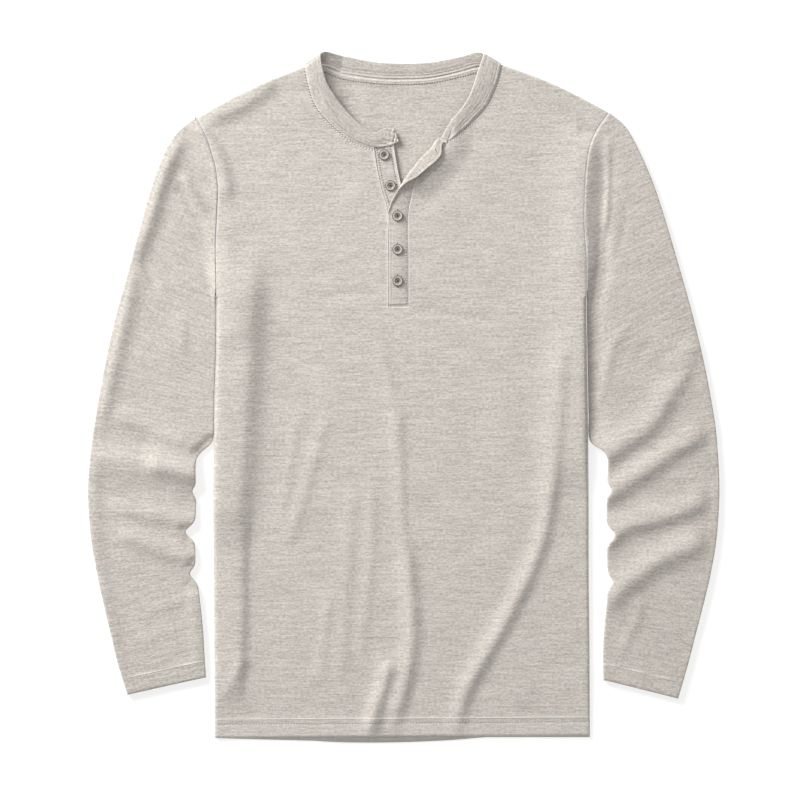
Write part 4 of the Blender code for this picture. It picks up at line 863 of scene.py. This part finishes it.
# Pale lines along the button placket's free edge and seam: wear and painted highlight.
FREE_WEAR_AND_HIGHLIGHT, SEWN_WEAR_AND_HIGHLIGHT = Mark(0.0, 1.6, 1.0), Mark(1.6, 0.8, 0.2)
UNDER_PLACKET_SHARES = (0, 0.03, 0.06, 0.1, 0.15, 0.2, 0.3, 0.42, 0.54, 0.66, 0.75, 0.8, 0.86, 0.92, 0.97,
                        1)

sewn_line = smooth_line(UNDER_PLACKET_SEWN, UNDER_PLACKET_FINE)
free_line = smooth_line(UNDER_PLACKET_FREE, UNDER_PLACKET_FINE)
placket_points, placket_spread, placket_wear_and_highlight = [], [], []
for number, (sewn, free) in enumerate(zip(sewn_line, free_line)):
    to_top = (len(sewn_line) - 1 - number) * UNDER_PLACKET_TOP_STEP
    width = np.hypot(*(free - sewn))
    for share in UNDER_PLACKET_SHARES:
        x, y = sewn + (free - sewn) * share
        place, from_free = share * width, (1.0 - share) * width
        height = (BODY_REST - UNDER_PLACKET_DROP + marks(from_free, FREE_GROOVE) + marks(place, SEWN_GROOVE)
                  - dip(place, *SEWN_DIP) - dip(to_top, *TOP_DIP))
        placket_points.append((x, y, height))
        placket_spread.append((place, y))
        placket_wear_and_highlight.append(marks(from_free, FREE_WEAR_AND_HIGHLIGHT) + marks(place, SEWN_WEAR_AND_HIGHLIGHT))
placket_faces = grid_faces(len(sewn_line), len(UNDER_PLACKET_SHARES))
under_placket = cloth_piece("button_placket", placket_points, placket_faces, placket_spread, placket_wear_and_highlight,
                            UNDER_PLACKET_WALL, jersey_finish("button_placket", 200.0))
soften(under_placket)
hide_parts("placket_under")

# --------------------------------------
# Buttonhole placket. A doubled strip sewn to the other edge of the slot. It lies over the button placket
# and is stitched across at its foot; its open upper end is turned back like a lapel.
PlacketRow = namedtuple("PlacketRow", "sewn_x sewn_y turn flat_run lift width over")
PLACKET_WIDTH, PLACKET_ROLL = 24.0, 1.7
PLACKET_TUCK, PLACKET_TUCK_ROLL = 0.3, 1.2     # its sewn edge lies this far under the front's face
PLACKET_RISE, PLACKET_RISE_WIDTH = 0.7, 11.0   # share of its height gained gently, over this width
OVER_PLACKET_WALL, OVER_PLACKET_FINE = 0.9, 6
PLACKET_COLUMNS = 49
SEAM_GROOVE, EDGE_GROOVE = Mark(2.6, 0.7, -0.2), Mark(3.0, 0.8, -0.2)
# Pale line along the buttonhole placket's free edge: wear and painted highlight.
PLACKET_EDGE_WEAR_AND_HIGHLIGHT = Mark(0.0, 1.0, 0.45)
# x and y of the sewn edge, the angle its rows turn to, how much of it lies flat before it rolls back,
# how much it lifts, its width, and its height over the front.
OVER_PLACKET_ROWS = [
    (5.1, 99, 0, 40, 0, 20.6, -0.3), (5.1, 101, 0, 40, 0, 20.9, 0.4), (5.1, 104.5, 0, 40, 0, 21.1, 0.9),
    (5.1, 126, 0, 40, 0, 21.2, 1.1), (5.1, 157, 0, 40, 0, 21.2, 1.1), (5, 183.7, 0, 40, 0, 21.2, 1.1),
    (4.9, 199.5, 2, 22.5, 0.3, 22.4, 1.1), (6.2, 211.2, 8, 17.6, 0.5, 20.1, 1.1),
    (8.6, 221.1, 16, 14, 1, 17.4, 1.1), (11.1, 230.4, 26, 11, 1.6, 17.4, 1.1),
    (13.5, 240, 34, 7.5, 2.6, 19.4, 1.1), (17.2, 248.3, 36, 5.3, 3.2, 19.6, 1.1),
    (21.6, 256, 37, 4, 3.4, 20, 1.1), (26.4, 262.4, 38, 3, 3.2, 20, 1.1),
    (31.2, 267.8, 40, 2.5, 2.6, 19.4, 1), (36, 273, 42, 3, 1.8, 19, 0.9),
    (40.2, 277.6, 43, 4.2, 1, 16, 0.7), (43, 280.6, 43, 3.4, 0.4, 13, 0.5),
]


def placket_line(row, height):
    """Points across the buttonhole placket: flat, then round the roll, then back over itself."""
    angle = radians(180.0 - row.turn)
    run = np.array((cos(angle), sin(angle)))
    points = []
    for width in np.linspace(0.0, row.width, PLACKET_COLUMNS):
        bent = (width - row.flat_run) / PLACKET_ROLL
        if bent <= 0.0:
            out, up = width, 0.0
        elif bent < pi:
            out, up = row.flat_run + PLACKET_ROLL * sin(bent), PLACKET_ROLL * (1.0 - cos(bent))
        else:
            out = row.flat_run - (width - row.flat_run - pi * PLACKET_ROLL)
            up = 2.0 * PLACKET_ROLL
        share = ((1.0 - PLACKET_RISE) * roll(width, PLACKET_TUCK_ROLL)
                 + PLACKET_RISE * eased(min(1.0, width / PLACKET_RISE_WIDTH)))
        up += (row.over + PLACKET_TUCK) * share - PLACKET_TUCK + row.lift * (width / PLACKET_WIDTH) ** 2
        up += marks(width, SEAM_GROOVE) + marks(row.width - width, EDGE_GROOVE)
        spot = np.array((row.sewn_x, row.sewn_y)) + out * run
        points.append((*spot, height + up))
    return points


over_rows = smooth_line(OVER_PLACKET_ROWS, OVER_PLACKET_FINE)
over_points, over_spread, over_wear_and_highlight = [], [], []
for numbers in over_rows:
    row = PlacketRow(*numbers)
    under = front_height(np.array([row.sewn_x]), np.array([row.sewn_y]))[0]
    over_points += placket_line(row, max(under, BODY_REST))
    for width in np.linspace(0.0, row.width, PLACKET_COLUMNS):
        over_spread.append((width, row.sewn_y))
        over_wear_and_highlight.append(marks(row.width - width, PLACKET_EDGE_WEAR_AND_HIGHLIGHT))
over_faces = grid_faces(len(over_rows), PLACKET_COLUMNS, flip=True)
over_placket = cloth_piece("buttonhole_placket", over_points, over_faces, over_spread, over_wear_and_highlight,
                           OVER_PLACKET_WALL, jersey_finish("buttonhole_placket", 240.0))
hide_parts("placket_over")

# --------------------------------------
# Stitching. Off-white cotton thread: cover stitching round the neck, twin-needle rows at the hem and
# cuffs, and edge stitching on both plackets. Each stitch is a short pad of thread pulled into the cloth.
# Rows of dark pads beside the stitching and in the buttonhole slits are painted shade, for the shade in the
# needle pits and slits.
SEW_FROM = 0.06             # metres over the surface from which the cloth is looked for
THREAD_SUNK = 0.2
STITCH_WOBBLE, STITCH_LENGTHS = 0.05, (0.9, 1.06)
STEEPEST = 0.35             # no stitch where the cloth's normal rises less than this

bpy.ops.mesh.primitive_uv_sphere_add(segments=8, ring_count=6, radius=0.5)
model_stitch = bpy.context.active_object
bpy.ops.object.mode_set(mode="EDIT")
bpy.ops.mesh.select_all(action="SELECT")
bpy.ops.transform.rotate(value=0.5 * pi, orient_axis="Y", center_override=(0.0, 0.0, 0.0))
bpy.ops.transform.resize(value=(1.0, 1.0, 0.8))
bpy.ops.object.mode_set(mode="OBJECT")
stitch_points = np.array([vertex.co for vertex in model_stitch.data.vertices])
stitch_faces = [tuple(face.vertices) for face in model_stitch.data.polygons]
bpy.data.objects.remove(model_stitch)


def thread_finish(name, light, dark):
    """Twisted thread: fine stripes across it and an uneven tone."""
    finish = Finish(name)
    where = finish.position()
    uneven = finish.noise(where, (900.0, 900.0, 900.0), 2.0)
    fibre = finish.noise(where, (4200.0, 4200.0, 1500.0), 1.0)
    colour = finish.blend((uneven - 0.3) * 2.2, (*dark, 1.0), (*light, 1.0))
    finish.set(Base_Color=colour, Roughness=0.7 + uneven * 0.2, Normal=finish.bump(0.5, 0.0002, fibre),
               Specular_IOR_Level=0.3)
    return finish.material


seam_thread = thread_finish("seam_thread", (0.84, 0.81, 0.765), (0.68, 0.645, 0.595))
# Painted shade: near-black pads for the shade in the needle pits and buttonhole slits, not a thread of their
# own.
painted_pit_shade = thread_finish("painted_pit_shade", (0.20, 0.175, 0.15), (0.09, 0.08, 0.07))
# Kinds of stitch, and of dark pad painted as the shade in a pit that a needle leaves beside one. turn is
# how far each is turned from its row.
Stitch = namedtuple("Stitch", "pitch length thick finish turn", defaults=(seam_thread, 0.0))
HEM_STITCH, HEM_PIT_SHADE = Stitch(2.8, 2.7, 0.7), Stitch(3.2, 1.7, 0.55, painted_pit_shade)
COVER_STITCH = Stitch(3.3, 3.6, 0.75, turn=radians(60.0))
COVER_PIT_SHADE = Stitch(3.3, 1.7, 0.7, painted_pit_shade, radians(60.0))
BACK_NECK_PIT_SHADE = Stitch(2.9, 2.0, 0.9, painted_pit_shade)
EDGE_STITCH, BUTTONHOLE_STITCH = Stitch(2.8, 2.3, 0.45), Stitch(0.75, 1.3, 0.5, turn=0.5 * pi)
UNDER_PIT_SHADE, OVER_PIT_SHADE = Stitch(2.8, 1.6, 0.8, painted_pit_shade), Stitch(2.8, 1.5, 0.65, painted_pit_shade)
SLIT_SHADE = Stitch(0.7, 0.9, 0.6, painted_pit_shade)


def march(path, pitch):
    """Places at an even pitch along a line in the plan, with the heading at each."""
    path = np.asarray(path, float)
    travelled = travelled_along(path)
    stops = np.arange(0.5 * pitch, travelled[-1], pitch)
    ahead = points_at(stops + 0.5, travelled, path) - points_at(stops - 0.5, travelled, path)
    return zip(points_at(stops, travelled, path), np.arctan2(*ahead.T[::-1]))


def aside(path, distance):
    """The line that runs beside another, to its left by this distance."""
    tangent = unit(np.gradient(path, axis=0))
    return path + distance * np.column_stack([-tangent[:, 1], tangent[:, 0]])


def sew(name, cloth, stitch, *paths):
    """Stitches of one kind along each path, each lying on the uppermost cloth below it."""
    draw = np.random.default_rng(5)
    trees = []
    for piece in cloth:
        shape = bmesh.new()
        shape.from_mesh(piece.data)
        trees.append(BVHTree.FromBMesh(shape))
        shape.free()
    points, faces = [], []
    for (x, y), heading in (place for path in paths for place in march(path, stitch.pitch)):
        above = Vector((x * MM, y * MM, SEW_FROM))
        hits = [tree.ray_cast(above, Vector((0.0, 0.0, -1.0))) for tree in trees]
        hits = [hit for hit in hits if hit[0] is not None]
        if not hits:
            continue
        spot, normal = max(hits, key=lambda hit: hit[0].z)[:2]
        if abs(normal.z) < STEEPEST:
            continue
        heading += stitch.turn + draw.normal(0.0, STITCH_WOBBLE)
        forward = Vector((cos(heading), sin(heading), 0.0))
        forward = (forward - normal * forward.dot(normal)).normalized()
        axes = np.array([forward, normal.cross(forward), normal])
        size = np.array((stitch.length * draw.uniform(*STITCH_LENGTHS), stitch.thick, stitch.thick)) * MM
        base = len(points) * len(stitch_points)
        middle = spot + normal * (0.5 * stitch.thick - THREAD_SUNK) * MM
        points.append(np.array(middle) + (stitch_points * size) @ axes)
        faces += [tuple(base + corner for corner in face) for face in stitch_faces]
    mesh = bpy.data.meshes.new(name)
    mesh.from_pydata(np.vstack(points).tolist(), [], faces)
    mesh.shade_smooth()
    mesh.materials.append(stitch.finish)
    row = new_object(name, mesh)
    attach(row, "root")
    return row


HEM_PITS_BELOW = 5.0
hem_line = np.array([(x, hem_y + tilt * x + HEM_DEPTH) for x in np.linspace(-205.0, 202.0, 60)])
hem_stitching = sew("front_hem_stitching", [front], HEM_STITCH, hem_line)
# Painted shade in the needle pits below the hem stitching.
hem_pit_shade_row = sew("front_hem_pit_shade", [front], HEM_PIT_SHADE, hem_line - (0.0, HEM_PITS_BELOW))

CUFF_INSET, CUFF_STRETCH = 2.5, 0.03
for side, sleeve, sections in (("right", right_sleeve, RIGHT_SLEEVE), ("left", left_sleeve, LEFT_SLEEVE)):
    above_outer, above_inner, outer, inner = np.reshape([row[:4] for row in sections[-2:]], (4, 2))
    up = 0.5 * (above_outer + above_inner - outer - inner)
    inset = CUFF_INSET * (inner - outer) / np.hypot(*(inner - outer))
    line = np.array([outer + inset, inner - inset]) + CUFF_DEPTH * up / np.hypot(*up)
    stretch = (line[1] - line[0]) * CUFF_STRETCH
    sew(f"{side}_cuff_stitching", [sleeve], HEM_STITCH, line + (-stretch, stretch))

COVER_OUT, COVER_PITS_OUT, BACK_PITS_OUT = 4.0, 2.5, FACING_WIDTH + 0.4     # from the neck seam
right_seam, left_seam = right_neckline[RIGHT_CORNER * FINE:], left_neckline[LEFT_CORNER * FINE:]
neck_ticks = sew("neck_cover_stitching", [front], COVER_STITCH, aside(right_seam, COVER_OUT),
                 aside(left_seam, -COVER_OUT))
# Painted shade in the needle pits beside the neck seam.
neck_pit_shade_row = sew("neck_pit_shade", [front], COVER_PIT_SHADE, aside(right_seam, COVER_PITS_OUT),
                aside(left_seam, -COVER_PITS_OUT))
back_seam = smooth_line(BACK_NECKLINE[1:-1], BACK_NECKLINE_FINE)
# Painted shade in the needle pits along the back neck's facing.
back_neck_pit_shade_row = sew("back_neck_pit_shade", [back], BACK_NECK_PIT_SHADE, aside(back_seam, -BACK_PITS_OUT))

UNDER_STITCH_IN, UNDER_PITS_IN, UNDER_EDGE_IN = 2.2, 3.6, 4.2     # in from the placket's two edges
OVER_STITCH_IN, OVER_PITS_IN = 1.7, 1.8
under_seam, under_edge = sewn_line[3:-6], free_line[3:-6]      # from the foot to the neckband
button_placket_stitching = sew("button_placket_stitching", [under_placket, front], EDGE_STITCH,
                               aside(under_seam, -UNDER_STITCH_IN))
# Painted shade in the needle pits along both edges of the button placket.
button_placket_pit_shade_row = sew("button_placket_pit_shade", [under_placket, front], UNDER_PIT_SHADE,
                          aside(under_seam, -UNDER_PITS_IN), aside(under_edge, UNDER_EDGE_IN))
over_sewn = over_rows[9:52, 0:2]                               # from the foot to the lapel's turn
over_left = over_rows[10:38, 0:2] - over_rows[10:38, 5:6] * (1.0, 0.0)     # where it lies flat
over_foot, below_foot = [(-16.0, 102.2), (4.2, 102.2)], [(-17.6, 98.2), (6.4, 98.2)]
buttonhole_placket_stitching = sew("buttonhole_placket_stitching", [over_placket, front], EDGE_STITCH,
                                   over_left + (OVER_STITCH_IN, 0.0), below_foot)
BUTTONHOLE, BUTTONHOLE_HEADING = (36.2, 269.4), radians(112.0)     # the top one, on the lapel
BUTTONHOLE_REACH, BUTTONHOLE_HALF_WIDTH = 4.3, 1.9
SLIT_REACH, LOWER_SLIT_REACH = 3.4, 7.6     # a lower slit shows at both sides of its button
BUTTON_CENTRES = [(-21.2, 266.5), (-14.3, 232.7), (-6.5, 199.2), (-6.4, 162.4), (-6.4, 127.7)]
turned = np.linspace(0.0, 2.0 * pi, 25)
hole_run = np.array((cos(BUTTONHOLE_HEADING), sin(BUTTONHOLE_HEADING)))
top_buttonhole = (BUTTONHOLE + np.outer(BUTTONHOLE_REACH * np.cos(turned), hole_run)
                  + np.outer(BUTTONHOLE_HALF_WIDTH * np.sin(turned), (-hole_run[1], hole_run[0])))
buttonhole_stitching = sew("top_buttonhole_stitching", [over_placket], BUTTONHOLE_STITCH, top_buttonhole)
top_slit = BUTTONHOLE + np.outer((-SLIT_REACH, SLIT_REACH), hole_run)
lower_slits = [[(x, y - LOWER_SLIT_REACH), (x, y + LOWER_SLIT_REACH)] for x, y in BUTTON_CENTRES[2:]]
# Painted shade in the needle pits along the buttonhole placket and across its foot.
buttonhole_placket_pit_shade_row = sew("buttonhole_placket_pit_shade", [over_placket], OVER_PIT_SHADE,
                              over_sewn - (OVER_PITS_IN, 0.0), over_foot)
# Painted shade in the buttonhole slits.
buttonhole_slit_shade = sew("buttonhole_slit_shade", [over_placket], SLIT_SHADE, top_slit, *lower_slits)

# --------------------------------------
# Buttons. Four-hole shirt buttons of horn-coloured resin, turned with a raised rim and a dished middle,
# sewn through crossed. Two are on the bare button placket, three stand on the buttonhole placket.
BUTTON_RADIUS, BUTTON_THICKNESS = 5.9, 1.8
BUTTON_RIM, BUTTON_STEP, BUTTON_DISH = 2.4, 0.5, 0.6
BUTTON_INNER_STEP, BUTTON_INNER_DISH = 0.6, 0.15
BUTTON_ROUNDING, BUTTON_ROUNDED_FROM = 0.42, 2.9     # edges further out than this are rounded
BUTTON_HOLE, BUTTON_HOLE_SPACING, DRILL_LENGTH = 1.2, 2.1, 8.0
SMOOTH_UP_TO = radians(38.0)
BUTTON_THREAD, THREAD_FLATNESS = 0.6, 0.42
BARE_BASE, PLACKET_BASE = BODY_REST - UNDER_PLACKET_DROP + 0.15, BODY_REST + 1.2     # what they stand on


def select_where(mesh, kind, test):
    """Selects the faces or edges of the mesh in edit mode that pass a test on their corners, in mm."""
    bpy.ops.mesh.select_mode(type=kind)
    shape = bmesh.from_edit_mesh(mesh)
    for element in [*shape.verts, *shape.edges, *shape.faces]:
        element.select = False
    for element in shape.faces if kind == "FACE" else shape.edges:
        element.select_set(test(*(corner.co / MM for corner in element.verts)))
    bmesh.update_edit_mesh(mesh)


bpy.ops.mesh.primitive_cylinder_add(vertices=36, radius=BUTTON_RADIUS * MM, depth=BUTTON_THICKNESS * MM,
                                    location=(0.0, 0.0, 0.5 * BUTTON_THICKNESS * MM))
model_button = bpy.context.active_object
bpy.ops.object.transform_apply(location=True)
bpy.ops.object.mode_set(mode="EDIT")
select_where(model_button.data, "FACE", lambda *corners: min(corner.z for corner in corners) > 0.1)
bpy.ops.mesh.inset(thickness=BUTTON_RIM * MM)
bpy.ops.mesh.inset(thickness=BUTTON_STEP * MM)
bpy.ops.transform.translate(value=(0.0, 0.0, -BUTTON_DISH * MM))
bpy.ops.mesh.inset(thickness=BUTTON_INNER_STEP * MM)
bpy.ops.transform.translate(value=(0.0, 0.0, -BUTTON_INNER_DISH * MM))
select_where(model_button.data, "EDGE",
             lambda a, b: abs(a.z - b.z) < 0.01 and a.xy.length > BUTTON_ROUNDED_FROM)
bpy.ops.mesh.bevel(offset=BUTTON_ROUNDING * MM, segments=3)
bpy.ops.object.mode_set(mode="OBJECT")
for k in range(4):
    angle = radians(45.0 + 90.0 * k)
    reach = 0.5 * BUTTON_HOLE_SPACING * 2.0 ** 0.5 * MM
    bpy.ops.object.select_all(action="DESELECT")
    bpy.ops.mesh.primitive_cylinder_add(vertices=12, radius=0.5 * BUTTON_HOLE * MM, depth=DRILL_LENGTH * MM,
                                        location=(reach * cos(angle), reach * sin(angle), 0.0))
    drill = bpy.context.active_object
    apply_modifier(model_button, "BOOLEAN", operation="DIFFERENCE", object=drill)
    bpy.data.objects.remove(drill)
select_only(model_button)
bpy.ops.object.shade_smooth_by_angle(angle=SMOOTH_UP_TO)


def button_finish():
    """Horn-coloured resin: pale streaked rim, browner dished middle and a satin polish; dark rings of painted
    shade round both.
    """
    finish = Finish("button_resin")
    where = finish.position()
    cloud = finish.noise(where, (260.0, 420.0, 260.0), 3.0, 0.6)
    vein = finish.noise(where, (900.0, 240.0, 600.0), 3.0, 0.6, 3.0)
    radius = finish.attribute("radius")
    pale = finish.blend((cloud - 0.25) * 1.8, (0.50, 0.465, 0.42, 1.0), (0.70, 0.665, 0.61, 1.0))
    brown = finish.blend((vein - 0.3) * 2.0, (0.22, 0.195, 0.17, 1.0), (0.38, 0.345, 0.305, 1.0))
    colour = finish.blend((3.3 - radius) * 3.0, pale, brown)
    # Painted shade: a dark ring at the step down into the dish, and darkening from near the rim's outer edge
    # out over the side.
    step = radius.math("EXPONENT", ((radius - 3.1) * 2.0) ** 2 * -1.0)
    edge_shade = radius.math("MAXIMUM", (radius - 4.75) * 2.2, 0.0)
    colour = finish.blend(step * 0.7 + edge_shade, colour, (0.13, 0.11, 0.095, 1.0))
    finish.set(Base_Color=colour, Roughness=0.34 + cloud * 0.15, Normal=finish.bump(0.15, 0.0003, vein))
    return finish.material


resin = button_finish()
button_thread = thread_finish("button_thread", (0.10, 0.085, 0.07), (0.045, 0.038, 0.03))
bpy.ops.object.select_all(action="DESELECT")
bpy.ops.mesh.primitive_torus_add(major_radius=0.5 * BUTTON_HOLE_SPACING * MM,
                                 minor_radius=0.5 * BUTTON_THREAD * MM, major_segments=20,
                                 minor_segments=8, rotation=(0.5 * pi, 0.0, 0.0))
model_loop = bpy.context.active_object
bpy.ops.object.transform_apply(rotation=True)
for number, (x, y) in enumerate(BUTTON_CENTRES, start=1):
    base = BARE_BASE if number < 3 else PLACKET_BASE
    spin = radians(17.0 * number)
    button, *loops = [new_object(model.name, model.data.copy())
                      for model in (model_button, model_loop, model_loop)]
    button.name = button.data.name = f"shirt_button_{number}"
    radii = [vertex.co.xy.length / MM for vertex in button.data.vertices]
    button.data.attributes.new("radius", "FLOAT", "POINT").data.foreach_set("value", radii)
    button.rotation_euler = (radians(1.5 * (number % 3)), radians(-2.0), spin)
    button.location = (x * MM, y * MM, base * MM)
    for loop, turn in zip(loops, (0.0, 0.5 * pi)):
        loop.scale = (1.0, 1.0, THREAD_FLATNESS)
        loop.rotation_euler = (0.0, 0.0, radians(45.0) + turn + spin)
        loop.location = (x * MM, y * MM, (base + BUTTON_THICKNESS - BUTTON_DISH - 0.1) * MM)
    select_only(button, *loops)
    bpy.ops.object.transform_apply(location=True, rotation=True, scale=True)
    select_only(*loops)
    bpy.ops.object.join()
    threads = loops[0]
    threads.name = threads.data.name = f"button_thread_{number}"
    threads.data.shade_smooth()
    for piece, finish in ((button, resin), (threads, button_thread)):
        piece.data.materials.clear()
        piece.data.materials.append(finish)
        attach(piece, "root")
    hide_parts(f"button_{number}")
bpy.data.objects.remove(model_button)
bpy.data.objects.remove(model_loop)

# --------------------------------------
# Floor, light and camera.
bpy.ops.mesh.primitive_plane_add(size=12.0, location=(0.0, 0.0, -0.0003))
floor = bpy.context.active_object
floor.name = "floor"
paper = Finish("pale_floor")
paper.set(Base_Color=(0.42, 0.42, 0.42, 1.0), Roughness=0.9, Specular_IOR_Level=0.1,
          Emission_Color=(1.0, 1.0, 1.0, 1.0), Emission_Strength=0.68)
floor.data.materials.append(paper.material)

world = bpy.data.worlds.new("studio")
world.use_nodes = True
world.node_tree.nodes["Background"].inputs["Color"].default_value = (1.0, 1.0, 1.0, 1.0)
world.node_tree.nodes["Background"].inputs["Strength"].default_value = 0.50
bpy.context.scene.world = world

KEY_DIRECTION, KEY_DISTANCE = Vector((-0.68, 0.73, 0.49)), 4.4
key = bpy.data.lights.new("key", "AREA")
key.energy = 255.0
key.size = 1.6
key_light = new_object("key", key)
key_light.location = KEY_DIRECTION.normalized() * KEY_DISTANCE
key_light.rotation_euler = key_light.location.to_track_quat("Z", "Y").to_euler()

VIEW_WIDTH, VIEW_CENTRE, VIEW_LEVEL = 0.88, (-0.00385, -0.0033), 0.005
camera_data = bpy.data.cameras.new("camera")
camera_data.lens = 180.0
camera_data.sensor_width = 36.0
camera = new_object("camera", camera_data)
camera.location = (*VIEW_CENTRE, VIEW_LEVEL + VIEW_WIDTH * camera_data.lens / camera_data.sensor_width)
bpy.context.scene.camera = camera
bpy.context.scene.view_settings.view_transform = "Standard"
